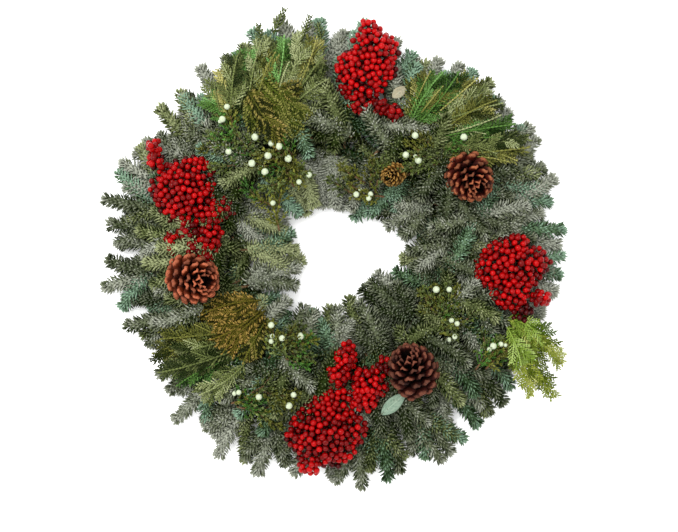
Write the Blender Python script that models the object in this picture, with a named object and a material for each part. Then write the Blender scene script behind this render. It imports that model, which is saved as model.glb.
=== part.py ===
"""Evergreen wreath, about 0.61 m across, lying on its back with its face up.

Tied bundles of noble fir are bound with one wire round a flat wire frame. Cedar sprays, juniper sprigs,
red berries, pine cones and a few broad leaves lie on the crown of the fir. Metres, +Z up.
"""

import math
import random

import bmesh
import bpy
from mathutils import Matrix, Vector

MM = 0.001
GAP = 0.3 * MM  # clearance where two pieces touch

# Fir bundles: sixteen equal sectors of the ring, each with its own reach outwards and inwards
FIR_BUNDLES = 16
BUNDLE_STEP = 360.0 / FIR_BUNDLES
FIRST_SEAM_ANGLE = 8.0  # the seam on the clockwise side of bundle 1
OUTER_REACH = [
    reach * MM for reach in (307, 305, 299, 309, 316, 300, 304, 308, 301, 300, 314, 314, 316, 308, 294, 306)
]
INNER_REACH = [reach * MM for reach in (70, 57, 52, 54, 57, 60, 62, 50, 48, 76, 76, 68, 62, 57, 64, 82)]
BASE_INNER = 92 * MM
BASE_OUTER = 262 * MM
CROWN = 46 * MM  # top of the fir, where the trimmings lie
BUNDLE_SIDE = 0.6  # part of a bundle's height up to which its sides are straight
BUNDLE_TOP = 0.5  # half width of its flat top, as a part of its half width
INNER_END = ((0, 24 * MM), (20 * MM, 38 * MM))  # distance from that end, height
OUTER_END = ((20 * MM, 42 * MM), (0, 30 * MM))
RECESS_INNER = 147 * MM  # the underside is hollowed over the frame
RECESS_OUTER = 213 * MM
RECESS_DEPTH = 8.5 * MM
NOTCH_INNER = 144 * MM  # each bundle narrows at its tied stems, and the binding wire passes there
NOTCH_OUTER = 218 * MM
NOTCH_WIDTH = 8 * MM
SLOPE = 3 * MM
STEMS_INNER = 166 * MM
STEMS_OUTER = 194 * MM
STEMS_LOW = 9.5 * MM
STEMS_HIGH = 20 * MM
STEMS_INSIDE = 16 * MM  # length of the stems inside the bundle
STEMS_CORNER = 6 * MM
FINGERS = (-7.3, 0.0, 7.3)  # angles of a bundle's outward fir tips, in degrees from its middle
FINGER_STRAY = 0.8  # most that a tip turns away from its angle
FINGER_SHORTER = (6 * MM, 24 * MM)  # least and most that a tip stays behind the longest one
FINGER_ROOT = 228 * MM
FINGER_WIDTH = 13 * MM  # half width
FINGER_SIDES = 5
FINGER_TURN = 0.25  # how far the first side is turned up, in sides
FINGER_SHAPE = (  # part of the length, part of the width, height of the middle, half thickness
    (0.0, 0.95, 27 * MM, 14 * MM),
    (0.5, 1.0, 24 * MM, 12 * MM),
    (0.88, 0.8, 21 * MM, 9 * MM),
    (1.0, 0.3, 20 * MM, 4 * MM),
)
INNER_FINGER_ROOT = 112 * MM
INNER_FINGER_FLARE = 0.155  # half width for each millimetre from the middle of the wreath
INNER_FINGER_NECK = 18 * MM  # where that is measured, from the tip
INNER_FINGER_FLATTER = 0.85

# Wire frame: two rings joined by cross wires
RING_RADII = (156 * MM, 204 * MM)
RING_WIRE = 2 * MM
RING_STEPS = 36
CROSS_WIRE = 1.5 * MM
CROSS_WIRES = 8
FRAME_HEIGHT = 4.5 * MM  # centre of the wires above the table

# Binding wire: one turn round the frame and the stems at every seam
BINDING_WIRE = 0.5 * MM
BINDING_INNER = 151.5 * MM
BINDING_OUTER = 208.5 * MM
BINDING_LOW = 1.1 * MM
BINDING_HIGH = 24 * MM
BINDING_OFFSET = 3 * MM  # from the seam into the notch
BINDING_TURN = (1.5 * MM, 10 * MM, 12 * MM)  # its rounding: up from below, down from above, in from the sides
BINDING_UNDER = 2 * MM  # how far in it crosses below

# Trimmings, all lying on the crown
REST = CROWN + GAP
CEDAR_THICKNESS = 9 * MM
FROND_BRANCHES = 6  # pairs of side branches
FROND_BULGE = (0.22, 0.92)  # the part of a sine wave's hump that the branches' reach follows
FROND_ROOTS = (0.03, 0.83)  # where the first and the one after the last branch start, as parts of the length
FROND_NECK = 0.32  # half width between two branches, as a part of a branch's reach
FROND_SWEEP = 0.62  # how far a branch points forward, as a part of its reach
FROND_TOP_WIDTH = 0.86
# name: base x, base y, heading in degrees, length, half width, height of its underside above the crown
CEDAR_SPRAYS = {
    "cedar_spray_top_left_outer": (-97, 163, 119, 118, 26, 0),
    "cedar_spray_top_left_inner": (-55, 180, 104, 116, 21, 0),
    "cedar_spray_top_left_golden": (-116, 172, 35, 74, 22, 9.4),
    "cedar_spray_top_right_outer": (97, 212, 16, 116, 22, 0),
    "cedar_spray_top_right_inner": (100, 160, 20, 136, 24, 0),
    "cedar_spray_lower_left_golden": (-92, -72, 200, 96, 23, 0),
    "cedar_spray_lower_left_green": (-118, -129, 196, 122, 21, 0),
    "cedar_spray_right": (226, -104, -58, 124, 36, 0),
}
MOUND_SIDES = 12
MOUND_SHAPE = ((0.86, 0.0), (1.0, 0.28), (0.86, 0.66), (0.5, 0.94), (0.2, 1.0))  # parts of the width, height
MOUND_RIPPLE = (0.95, 1.07)  # every other corner further in, and further out
# name: centre x, centre y, heading, half length, half width, height
JUNIPER_SPRIGS = {
    "juniper_sprig_upper_left_outer": (-138, 136, 150, 30, 17, 16),
    "juniper_sprig_upper_left_inner": (-72, 116, 150, 34, 20, 16),
    "juniper_sprig_left_inner": (-88, 66, 120, 18, 13, 13),
    "juniper_sprig_upper_right": (118, 125, 172, 30, 12, 15),
    "juniper_sprig_top_inner": (34, 92, 100, 21, 13, 13),
    "juniper_sprig_right": (146, -78, 95, 34, 18, 16),
    "juniper_sprig_right_outer": (196, -132, 60, 19, 13, 13),
    "juniper_sprig_lower_left_inner": (-58, -118, 20, 26, 14, 14),
    "juniper_sprig_bottom_left": (-94, -191, 5, 34, 15, 15),
}
# name: centre x, centre y, heading, half length, half width
BERRY_SPRIGS = {
    "red_berries_top": (39, 240, 76, 62, 36),
    "red_berries_top_tail": (79, 183, -20, 17, 12),
    "red_berries_left": (-199, 80, 112, 50, 37),
    "red_berries_left_outer": (-240, 133, 105, 18, 11),
    "red_berries_left_lower": (-159, 21, 100, 22, 12),
    "red_berries_right": (223, -20, 112, 46, 40),
    "red_berries_right_tip": (268, -65, 8, 20, 10),
    "red_berries_bottom_inner": (7, -143, 60, 26, 16),
    "red_berries_bottom_right": (46, -181, 65, 26, 22),
    "red_berries_bottom_outer": (-17, -239, 60, 60, 37),
}
BERRY_BALL = 9.5 * MM  # one ball stands for a few berries
BERRY_PITCH = 2 * BERRY_BALL + 0.8 * MM
BERRY_BED = 24 * MM  # depth of the berries' twigs under the top balls
BERRY_EDGE = 0.84  # the outermost balls' middles, as a part of the sprig's reach
BERRY_DROP = 0.45  # how much lower a ball at the very edge would be, as a part of the bed
BALL_SEGMENTS = 6
BALL_RINGS = 4
# name: seam number, distance of the cone's foot along the seam, middle of the cone x, y, length, radius
PINE_CONES = {
    "pine_cone_left": (8, 198, -176, -37, 60, 31),
    "pine_cone_upper_right": (1, 198, 178, 88, 54, 29),
    "pine_cone_lower": (13, 198, 95, -144, 60, 31),
}
CONE_RISE = 0.5  # height of the cone's middle over its foot, as a part of its length
SMALL_CONE = (80, 103, 215, 32, 15)  # x, y, heading it leans to, length, radius
SMALL_CONE_LEAN = 0.3  # how far its middle is from over its foot, as a part of its length
SMALL_CONE_RISE = 0.45
CONE_SIDES = 14
CONE_COLLAR = 0.46  # the wired tier's radius, as a part of the cone's radius
CONE_TIERS = ((0.05, CONE_COLLAR), (0.26, 0.82), (0.43, 1.0), (0.60, 0.94), (0.77, 0.70), (0.93, 0.34))
CONE_TIER_DEPTH = 0.05  # parts of the cone's length
CONE_TIER_ROOT = 0.70  # a tier's radius at its lower edge, as a part of its upper one
CONE_TOOTH_GAP = 0.84  # radius between two teeth
CONE_WIRE = 0.7 * MM
CONE_WIRE_OFFSET = 5.9 * MM  # from the seam into the notch
CONE_WIRE_LOOP = 320  # degrees that the wire goes round the cone
CONE_WIRE_STEPS = 16
CONE_WIRE_GAP = 1.4 * MM  # from the lowest tier
CONE_WIRE_LEVEL = 0.075  # parts of the cone's length
CONE_WIRE_RING_GAP = 0.6 * MM
CONE_WIRE_DROP = 4 * MM  # where it leaves the crown
# name: base x, base y, heading, length, half width
BROAD_LEAVES = {
    "broad_leaf_lower": (60, -213, 42, 44, 9),
    "broad_leaf_top": (74, 200, 36, 24, 7),
}
LEAF_THICKNESS = 2.2 * MM
LEAF_CUP = 1.6 * MM  # how far the rim stands over the midrib
LEAF_SHAPE = ((0.0, 0.15, 0), (0.25, 0.85, 1.5), (0.5, 1.0, 2.5), (0.78, 0.65, 2), (1.0, 0.08, 0))

SHARP = 40  # edges that bend by more than this many degrees stay sharp

# Colours, linear
FIR_GREEN = (0.075, 0.12, 0.075)
CEDAR_GREEN = (0.13, 0.22, 0.04)
CEDAR_GOLD = (0.24, 0.18, 0.04)
CEDAR_LIME = (0.24, 0.36, 0.05)
JUNIPER_GREEN = (0.13, 0.17, 0.09)
BERRY_RED = (0.55, 0.01, 0.01)
CONE_BROWN = (0.12, 0.04, 0.02)
LEAF_GREEN = (0.28, 0.38, 0.26)
WIRE_GREEN = (0.03, 0.07, 0.035)
FRAME_GREEN = (0.02, 0.05, 0.03)


def clear_scene():
    for thing in list(bpy.data.objects):
        bpy.data.objects.remove(thing)


def make_material(name, colour, roughness, metallic=0.0):
    material = bpy.data.materials.new(name)
    material.use_nodes = True
    shader = material.node_tree.nodes["Principled BSDF"]
    shader.inputs["Base Color"].default_value = (*colour, 1.0)
    shader.inputs["Roughness"].default_value = roughness
    shader.inputs["Metallic"].default_value = metallic
    return material


def add_object(name, bm, material=None):
    """One object from a finished bmesh, with its round faces smooth and its real edges sharp."""
    bmesh.ops.recalc_face_normals(bm, faces=bm.faces)
    mesh = bpy.data.meshes.new(name)
    bm.to_mesh(mesh)
    bm.free()
    mesh.shade_smooth()
    mesh.set_sharp_from_angle(angle=math.radians(SHARP))
    thing = bpy.data.objects.new(name, mesh)
    bpy.context.collection.objects.link(thing)
    if material:
        mesh.materials.append(material)
    return thing


def add_guide(name, bm):
    """A shape that only another object's Boolean uses."""
    guide = add_object(name, bm)
    guide.hide_render = True
    guide.display_type = "WIRE"
    return guide


def unite(thing, guide):
    union = thing.modifiers.new("union with " + guide.name, "BOOLEAN")
    union.operation = "UNION"
    union.object = guide


def add_wire(name, route, radius, material):
    """A round wire along the route's points."""
    curve = bpy.data.curves.new(name, "CURVE")
    curve.dimensions = "3D"
    curve.bevel_depth = radius
    curve.bevel_resolution = 0
    curve.use_fill_caps = True
    spline = curve.splines.new("POLY")
    spline.points.add(len(route) - 1)
    for point, place in zip(spline.points, route):
        point.co = (*place, 1.0)
    curve.materials.append(material)
    wire = bpy.data.objects.new(name, curve)
    bpy.context.collection.objects.link(wire)
    return wire


def polar(radius, degrees, z=0.0):
    angle = math.radians(degrees)
    return Vector((radius * math.cos(angle), radius * math.sin(angle), z))


def turned(degrees):
    return Matrix.Rotation(math.radians(degrees), 4, "Z")


def seam_angle(number):
    return FIRST_SEAM_ANGLE + number * BUNDLE_STEP


def seam_point(number, along, offset, z):
    """A point beside a seam: along it from the wreath's middle, and offset anticlockwise into the notch."""
    return turned(seam_angle(number)) @ Vector((along, offset, z))


def loft(bm, sections):
    """A closed skin over a row of sections with equal numbers of points."""
    rings = [[bm.verts.new(point) for point in section] for section in sections]
    for ring, following in zip(rings, rings[1:]):
        for i in range(len(ring)):
            j = (i + 1) % len(ring)
            bm.faces.new((ring[i], ring[j], following[j], following[i]))
    bm.faces.new(rings[0])
    bm.faces.new(rings[-1])


# ---- the wire frame and the wire that binds the stems to it


def frame_ring(radius):
    bm = bmesh.new()
    bmesh.ops.create_circle(bm, segments=6, radius=RING_WIRE)
    bmesh.ops.rotate(bm, verts=bm.verts, matrix=Matrix.Rotation(math.pi / 2, 3, "X"))
    bmesh.ops.translate(bm, verts=bm.verts, vec=(radius, 0, FRAME_HEIGHT))
    bmesh.ops.spin(bm, geom=bm.edges[:], cent=(0, 0, 0), axis=(0, 0, 1), angle=math.tau, steps=RING_STEPS,
                   use_merge=True)
    bmesh.ops.remove_doubles(bm, verts=bm.verts, dist=0.01 * MM)
    return bm


def cross_wires():
    bm = bmesh.new()
    inner, outer = RING_RADII
    for number in range(CROSS_WIRES):
        angle = FIRST_SEAM_ANGLE + BUNDLE_STEP / 2 + number * 360.0 / CROSS_WIRES
        lying = Matrix.Translation(polar((inner + outer) / 2, angle, FRAME_HEIGHT)) @ turned(angle)
        lying = lying @ Matrix.Rotation(math.pi / 2, 4, "Y")
        bmesh.ops.create_cone(bm, cap_ends=True, segments=6, radius1=CROSS_WIRE, radius2=CROSS_WIRE,
                              depth=outer - inner, matrix=lying)
    return bm


def make_frame(material):
    """The rings and cross wires are welded into one piece."""
    inner, outer = RING_RADII
    frame = add_object("wire_frame", frame_ring(inner), material)
    unite(frame, add_guide("outer ring", frame_ring(outer)))
    unite(frame, add_guide("cross wires", cross_wires()))


def make_binding_wire(material):
    """One long wire: up outside the frame, over the stems, down inside it, and under it to the next seam."""
    middle = (BINDING_INNER + BINDING_OUTER) / 2
    up, down, inwards = BINDING_TURN
    shoulder = (BINDING_OUTER - BINDING_INNER) / 2 - inwards
    turn = (
        (BINDING_OUTER, BINDING_LOW + up),
        (BINDING_OUTER, BINDING_HIGH - down),
        (middle + shoulder, BINDING_HIGH),
        (middle - shoulder, BINDING_HIGH),
        (BINDING_INNER, BINDING_HIGH - down),
        (BINDING_INNER, BINDING_LOW + up),
    )
    route = []
    for number in range(FIR_BUNDLES):
        route.append(seam_point(number, BINDING_OUTER - BINDING_UNDER, BINDING_OFFSET, BINDING_LOW))
        for along, z in turn:
            route.append(seam_point(number, along, BINDING_OFFSET, z))
        route.append(seam_point(number, BINDING_INNER + BINDING_UNDER, BINDING_OFFSET, BINDING_LOW))
    add_wire("binding_wire", route, BINDING_WIRE, material)


# ---- fir bundles


def bundle_section(along, top, bottom, notch):
    """A slice across a bundle: flat below, straight at the sides, a low hump on top."""
    half_angle = math.radians(BUNDLE_STEP / 2)
    side = along * math.tan(half_angle) - GAP / math.cos(half_angle)
    notched = side - notch
    shoulder = bottom + BUNDLE_SIDE * (top - bottom)
    return [Vector((along, across, z)) for across, z in (
        (-notched, bottom),
        (side, bottom),
        (side, shoulder),
        (BUNDLE_TOP * side, top),
        (-BUNDLE_TOP * side, top),
        (-notched, shoulder),
    )]


def bundle_base():
    """The body of the bundle from its inner end to its outer end, hollowed over the frame."""
    bm = bmesh.new()
    loft(bm, [
        *(bundle_section(BASE_INNER + along, top, 0, 0) for along, top in INNER_END),
        bundle_section(NOTCH_INNER - SLOPE, CROWN, 0, 0),
        bundle_section(NOTCH_INNER, CROWN, 0, NOTCH_WIDTH),
        bundle_section(RECESS_INNER, CROWN, RECESS_DEPTH, NOTCH_WIDTH),
        bundle_section(RECESS_OUTER, CROWN, RECESS_DEPTH, NOTCH_WIDTH),
        bundle_section(NOTCH_OUTER, CROWN, 0, NOTCH_WIDTH),
        bundle_section(NOTCH_OUTER + SLOPE, CROWN, 0, 0),
        *(bundle_section(BASE_OUTER - along, top, 0, 0) for along, top in OUTER_END),
    ])
    return bm


def fir_finger(bm, root, tip, degrees, half_width, height):
    """A plump rounded fir tip, from root to tip along the bundle, turned from its middle line."""
    sections = []
    for part, wide, middle, thick in FINGER_SHAPE:
        across, up = wide * half_width, thick * height
        ring = []
        for corner in range(FINGER_SIDES):
            angle = math.tau * (corner + FINGER_TURN) / FINGER_SIDES
            ring.append(turned(degrees) @ Vector((
                root + part * (tip - root), across * math.cos(angle), middle + up * math.sin(angle))))
        sections.append(ring)
    loft(bm, sections)


def bundle_fingers(number):
    """Three tips outwards, one of them the longest, and one inwards."""
    outer, inner = OUTER_REACH[number], INNER_REACH[number]
    chance = random.Random(number)
    longest = chance.choice(FINGERS)
    bm = bmesh.new()
    for middle in FINGERS:
        degrees = middle + chance.uniform(-FINGER_STRAY, FINGER_STRAY)
        shorter = 0.0 if middle == longest else chance.uniform(*FINGER_SHORTER)
        fir_finger(bm, FINGER_ROOT, outer - shorter, degrees, FINGER_WIDTH, 1.0)
    half_width = INNER_FINGER_FLARE * (inner + INNER_FINGER_NECK)
    fir_finger(bm, INNER_FINGER_ROOT, inner, 0.0, half_width, INNER_FINGER_FLATTER)
    return bm


def tied_stems():
    """The gathered stem ends that cross the notch, under the binding wire."""
    waist = (STEMS_LOW + STEMS_HIGH) / 2
    outline = (
        (STEMS_INNER, waist),
        (STEMS_INNER + STEMS_CORNER, STEMS_LOW),
        (STEMS_OUTER - STEMS_CORNER, STEMS_LOW),
        (STEMS_OUTER, waist),
        (STEMS_OUTER - STEMS_CORNER, STEMS_HIGH),
        (STEMS_INNER + STEMS_CORNER, STEMS_HIGH),
    )
    across = turned(-BUNDLE_STEP / 2)
    bm = bmesh.new()
    loft(bm, [[across @ Vector((along, offset, z)) for along, z in outline]
              for offset in (2 * GAP, NOTCH_WIDTH + STEMS_INSIDE)])
    return bm


def make_fir_bundles(material):
    for number in range(FIR_BUNDLES):
        place = turned(seam_angle(number) + BUNDLE_STEP / 2)
        name = "fir_bundle_%02d" % (number + 1)
        bundle = add_object(name, bundle_base(), material)
        tips = add_guide(name + " tips", bundle_fingers(number))
        stems = add_guide(name + " stems", tied_stems())
        for piece in (bundle, tips, stems):
            piece.matrix_world = place
        unite(bundle, tips)
        unite(bundle, stems)


# ---- cedar sprays and broad leaves


def between(ends, part):
    return ends[0] + (ends[1] - ends[0]) * part


def frond_outline(length, half_width):
    """A flat feather outline: pairs of side branches that point forward, and one tip."""
    right = []
    for number in range(FROND_BRANCHES):
        part = number / FROND_BRANCHES
        reach = half_width * math.sin(math.pi * between(FROND_BULGE, part))
        start = length * between(FROND_ROOTS, part)
        right.append((start, FROND_NECK * reach))
        right.append((start + FROND_SWEEP * reach, reach))
    left = [(x, -y) for x, y in reversed(right)]
    return right + [(length, 0.0)] + left


def frond(length, half_width):
    bm = bmesh.new()
    outline = frond_outline(length, half_width)
    face = bm.faces.new([bm.verts.new((x, y, 0)) for x, y in outline])
    grown = bmesh.ops.extrude_face_region(bm, geom=[face])["geom"]
    top = [item for item in grown if isinstance(item, bmesh.types.BMVert)]
    for vert in top:
        vert.co.y *= FROND_TOP_WIDTH
        vert.co.z = CEDAR_THICKNESS
    return bm


def make_cedar(materials):
    for name, (x, y, heading, length, half_width, lift) in CEDAR_SPRAYS.items():
        colour = "gold" if "golden" in name else "lime" if name == "cedar_spray_right" else "green"
        spray = add_object(name, frond(length * MM, half_width * MM), materials[colour])
        spray.matrix_world = Matrix.Translation((x * MM, y * MM, REST + lift * MM)) @ turned(heading)


def make_leaves(material):
    """Smooth pointed leaf blades, a little cupped."""
    for name, (x, y, heading, length, half_width) in BROAD_LEAVES.items():
        sections = []
        for part, wide, lift in LEAF_SHAPE:
            along, across = part * length * MM, wide * half_width * MM
            bottom, rim = lift * MM, lift * MM + LEAF_CUP * wide
            sections.append([Vector((along, side, z)) for side, z in (
                (-across, rim), (0, bottom), (across, rim),
                (across, rim + LEAF_THICKNESS), (0, bottom + LEAF_THICKNESS), (-across, rim + LEAF_THICKNESS),
            )])
        bm = bmesh.new()
        loft(bm, sections)
        leaf = add_object(name, bm, material)
        leaf.matrix_world = Matrix.Translation((x * MM, y * MM, REST)) @ turned(heading)


# ---- juniper sprigs and red berries


def mound(half_length, half_width, height):
    """A low mound with an oval foot and a flat underside."""
    sections = []
    for spread, z in MOUND_SHAPE:
        ring = []
        for corner in range(MOUND_SIDES):
            angle = math.tau * corner / MOUND_SIDES
            ripple = MOUND_RIPPLE[corner % 2]
            ring.append(Vector((
                spread * ripple * half_length * math.cos(angle),
                spread * ripple * half_width * math.sin(angle), z * height)))
        sections.append(ring)
    bm = bmesh.new()
    loft(bm, sections)
    return bm


def make_juniper(material):
    for name, (x, y, heading, half_length, half_width, height) in JUNIPER_SPRIGS.items():
        sprig = add_object(name, mound(half_length * MM, half_width * MM, height * MM), material)
        sprig.matrix_world = Matrix.Translation((x * MM, y * MM, REST)) @ turned(heading)


def berry_balls(half_length, half_width):
    """Balls in staggered rows over the oval, lower towards its rim and never touching each other."""
    bm = bmesh.new()
    row_pitch = BERRY_PITCH * math.sqrt(3) / 2
    rows = int(half_width / row_pitch) + 1
    columns = int(half_length / BERRY_PITCH) + 1
    for row in range(-rows, rows + 1):
        for column in range(-columns, columns + 1):
            x = (column + (row % 2) / 2) * BERRY_PITCH
            y = row * row_pitch
            out = math.hypot(x / half_length, y / half_width)
            if out > BERRY_EDGE:
                continue
            z = BERRY_BED * (1.0 - BERRY_DROP * out * out)
            bmesh.ops.create_uvsphere(bm, u_segments=BALL_SEGMENTS, v_segments=BALL_RINGS, radius=BERRY_BALL,
                                      matrix=Matrix.Translation((x, y, z)))
    return bm


def make_berries(material):
    for name, (x, y, heading, half_length, half_width) in BERRY_SPRIGS.items():
        sprig = add_object(name, mound(half_length * MM, half_width * MM, BERRY_BED), material)
        balls = add_guide(name + " balls", berry_balls(half_length * MM, half_width * MM))
        for piece in (sprig, balls):
            piece.matrix_world = Matrix.Translation((x * MM, y * MM, REST)) @ turned(heading)
        unite(sprig, balls)


# ---- pine cones


def cone_shape(length, radius):
    """Tiers of scales round an upright core, each tier's points set between those of the tier below."""
    sections = []
    for number, (height, reach) in enumerate(CONE_TIERS):
        root = [CONE_TIER_ROOT] * CONE_SIDES
        gap = CONE_TOOTH_GAP if number else 1.0
        teeth = [1.0 if (corner + number) % 2 else gap for corner in range(CONE_SIDES)]
        for spreads, level in ((root, height - CONE_TIER_DEPTH), (teeth, height)):
            ring = []
            for corner, spread in enumerate(spreads):
                angle = math.tau * corner / CONE_SIDES
                across = radius * reach * spread
                ring.append(Vector((across * math.cos(angle), across * math.sin(angle), length * level)))
            sections.append(ring)
    bm = bmesh.new()
    loft(bm, sections)
    return bm


def leaning(foot, middle, rise):
    """Stands +Z along the line from foot towards a point over middle, rise above it."""
    axis = Vector((middle[0] - foot[0], middle[1] - foot[1], rise))
    return Matrix.Translation(foot) @ axis.to_track_quat("Z", "Y").to_matrix().to_4x4()


def sit_on_crown(place, bm):
    """The same place, moved straight up or down until the shape's lowest point rests on the crown."""
    lowest = min((place @ vert.co).z for vert in bm.verts)
    return Matrix.Translation((0, 0, REST - lowest)) @ place


def make_pine_cones(cone_material, wire_material):
    for name, (seam, along, x, y, length, radius) in PINE_CONES.items():
        length, radius = length * MM, radius * MM
        foot = seam_point(seam, along * MM, CONE_WIRE_OFFSET, CROWN)
        bm = cone_shape(length, radius)
        place = sit_on_crown(leaning(foot, (x * MM, y * MM), CONE_RISE * length), bm)
        cone = add_object(name, bm, cone_material)
        cone.matrix_world = place
        route = cone_wire_route(seam, along * MM, place, length, radius)
        add_wire(name.replace("pine_cone", "cone_wire"), route, CONE_WIRE, wire_material)

    x, y, heading, length, radius = SMALL_CONE
    bm = cone_shape(length * MM, radius * MM)
    foot = Vector((x * MM, y * MM, CROWN))
    middle = foot + polar(SMALL_CONE_LEAN * length * MM, heading)
    place = sit_on_crown(leaning(foot, middle, SMALL_CONE_RISE * length * MM), bm)
    add_object("pine_cone_small", bm, cone_material).matrix_world = place


def cone_wire_route(seam, along, place, length, radius):
    """Nearly once round the cone's lowest tier, then down the notch and round the frame's outer ring."""
    loop = radius * CONE_COLLAR + CONE_WIRE + CONE_WIRE_GAP
    foot = seam_point(seam, along, CONE_WIRE_OFFSET, CROWN)
    towards = place.inverted() @ foot
    start = math.atan2(towards.y, towards.x)
    route = []
    for step in range(CONE_WIRE_STEPS + 1):
        angle = start + math.radians(CONE_WIRE_LOOP) * (CONE_WIRE_STEPS - step) / CONE_WIRE_STEPS
        route.append(place @ Vector((loop * math.cos(angle), loop * math.sin(angle), CONE_WIRE_LEVEL * length)))
    ring = RING_RADII[1]
    clear = RING_WIRE + CONE_WIRE + CONE_WIRE_RING_GAP
    route.append(seam_point(seam, ring - clear, CONE_WIRE_OFFSET, CROWN - CONE_WIRE_DROP))
    for degrees in (180, 225, 270, 315, 360):
        angle = math.radians(degrees)
        route.append(seam_point(seam, ring + clear * math.cos(angle), CONE_WIRE_OFFSET,
                                FRAME_HEIGHT + clear * math.sin(angle)))
    return route


def centre_on_table():
    """Moves everything together so that the middle of the wreath's box stands over the origin."""
    bpy.context.view_layer.update()
    shown = [thing for thing in bpy.data.objects if thing.type in ("MESH", "CURVE") and not thing.hide_render]
    depsgraph = bpy.context.evaluated_depsgraph_get()
    corners = []
    for thing in shown:
        evaluated = thing.evaluated_get(depsgraph)
        mesh = evaluated.to_mesh()
        corners += [evaluated.matrix_world @ vert.co for vert in mesh.vertices]
        evaluated.to_mesh_clear()
    middle = [(min(c[axis] for c in corners) + max(c[axis] for c in corners)) / 2 for axis in (0, 1)]
    wreath = bpy.data.objects.new("wreath", None)
    bpy.context.collection.objects.link(wreath)
    for thing in bpy.data.objects:
        if thing is not wreath:
            thing.parent = wreath
    wreath.location = (-middle[0], -middle[1], 0)


def main():
    clear_scene()
    cedar = {
        "green": make_material("cedar foliage", CEDAR_GREEN, 0.6),
        "gold": make_material("golden cedar foliage", CEDAR_GOLD, 0.6),
        "lime": make_material("young cedar foliage", CEDAR_LIME, 0.6),
    }
    wire = make_material("green florist wire", WIRE_GREEN, 0.4, 0.3)
    make_frame(make_material("painted frame wire", FRAME_GREEN, 0.45, 0.3))
    make_binding_wire(wire)
    make_fir_bundles(make_material("fir needles", FIR_GREEN, 0.6))
    make_cedar(cedar)
    make_juniper(make_material("juniper needles", JUNIPER_GREEN, 0.65))
    make_berries(make_material("red berry skin", BERRY_RED, 0.2))
    make_pine_cones(make_material("pine cone wood", CONE_BROWN, 0.7), wire)
    make_leaves(make_material("leaf blade", LEAF_GREEN, 0.5))
    centre_on_table()


main()
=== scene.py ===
"""Evergreen wreath on its back: noble fir on a wire ring, trimmed with cedar, juniper, berries and cones."""

import random
from math import atan2, cos, hypot, pi, radians, sin, sqrt, tau

import bmesh
import bpy
import numpy as np
from mathutils import Matrix, Vector


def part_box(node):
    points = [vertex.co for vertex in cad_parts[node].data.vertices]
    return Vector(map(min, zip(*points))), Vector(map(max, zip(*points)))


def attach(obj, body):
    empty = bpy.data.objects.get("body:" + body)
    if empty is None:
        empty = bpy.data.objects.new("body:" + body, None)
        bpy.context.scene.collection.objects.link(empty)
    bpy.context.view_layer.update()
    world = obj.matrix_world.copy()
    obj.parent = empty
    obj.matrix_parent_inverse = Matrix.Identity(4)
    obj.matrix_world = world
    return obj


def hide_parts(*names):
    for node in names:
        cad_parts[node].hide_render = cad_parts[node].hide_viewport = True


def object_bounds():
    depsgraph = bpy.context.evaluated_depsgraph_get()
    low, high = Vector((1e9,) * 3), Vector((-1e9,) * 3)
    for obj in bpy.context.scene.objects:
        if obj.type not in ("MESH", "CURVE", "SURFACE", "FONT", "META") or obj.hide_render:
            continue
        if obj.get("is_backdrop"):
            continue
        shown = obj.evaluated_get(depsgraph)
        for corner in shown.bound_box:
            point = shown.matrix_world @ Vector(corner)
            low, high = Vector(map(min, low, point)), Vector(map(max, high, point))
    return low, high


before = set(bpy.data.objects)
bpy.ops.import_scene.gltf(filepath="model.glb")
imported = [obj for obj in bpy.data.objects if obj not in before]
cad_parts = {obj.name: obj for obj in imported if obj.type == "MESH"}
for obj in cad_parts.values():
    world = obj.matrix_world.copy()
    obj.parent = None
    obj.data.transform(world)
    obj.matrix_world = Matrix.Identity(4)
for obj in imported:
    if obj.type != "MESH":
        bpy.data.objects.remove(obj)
cad_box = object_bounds()

MM = 0.001

# ---- The studio.
# A plain white table, a bright even sky of diffusers round it, one large soft box up on the left, and a
# long lens that looks straight down on the wreath.
TABLE_SIZE = 12.0
TABLE_WHITE = (0.96, 0.96, 0.96, 1)
TABLE_ROUGHNESS = 0.9
SKY_STRENGTH = 2.0
SOFT_BOX_SIZE = 1.8
SOFT_BOX_PLACE = Vector((-0.9, 0.8, 2.8))
SOFT_BOX_POWER = 110.0
VIEW_WIDTH = 888 * MM
VIEW_HEIGHT_OVER_TABLE = 40 * MM
VIEW_OFFSET = Vector((4.6 * MM, -19.6 * MM, 0))
LENS = 85.0

ring_low, ring_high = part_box("wire_frame")
middle = (ring_low + ring_high) / 2
middle.z = 0.0


def new_finish(name):
    """A new material, and the node tree that it is made in."""
    material = bpy.data.materials.new(name)
    material.use_nodes = True
    return material, material.node_tree


def stand(name, data):
    """Puts a mesh, a light or a camera into the scene."""
    thing = bpy.data.objects.new(name, data)
    bpy.context.scene.collection.objects.link(thing)
    return thing


table = bpy.data.meshes.new("table")
bm = bmesh.new()
bmesh.ops.create_grid(bm, x_segments=1, y_segments=1, size=TABLE_SIZE / 2)
bm.to_mesh(table)
bm.free()
table_white, tree = new_finish("table white")
tree.nodes["Principled BSDF"].inputs["Base Color"].default_value = TABLE_WHITE
tree.nodes["Principled BSDF"].inputs["Roughness"].default_value = TABLE_ROUGHNESS
table.materials.append(table_white)
stand("table_top", table)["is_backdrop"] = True

sky = bpy.data.worlds.new("diffusers")
sky.use_nodes = True
sky.node_tree.nodes["Background"].inputs["Color"].default_value = (1, 1, 1, 1)
sky.node_tree.nodes["Background"].inputs["Strength"].default_value = SKY_STRENGTH
bpy.context.scene.world = sky
bpy.context.scene.view_settings.view_transform = "Standard"

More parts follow.
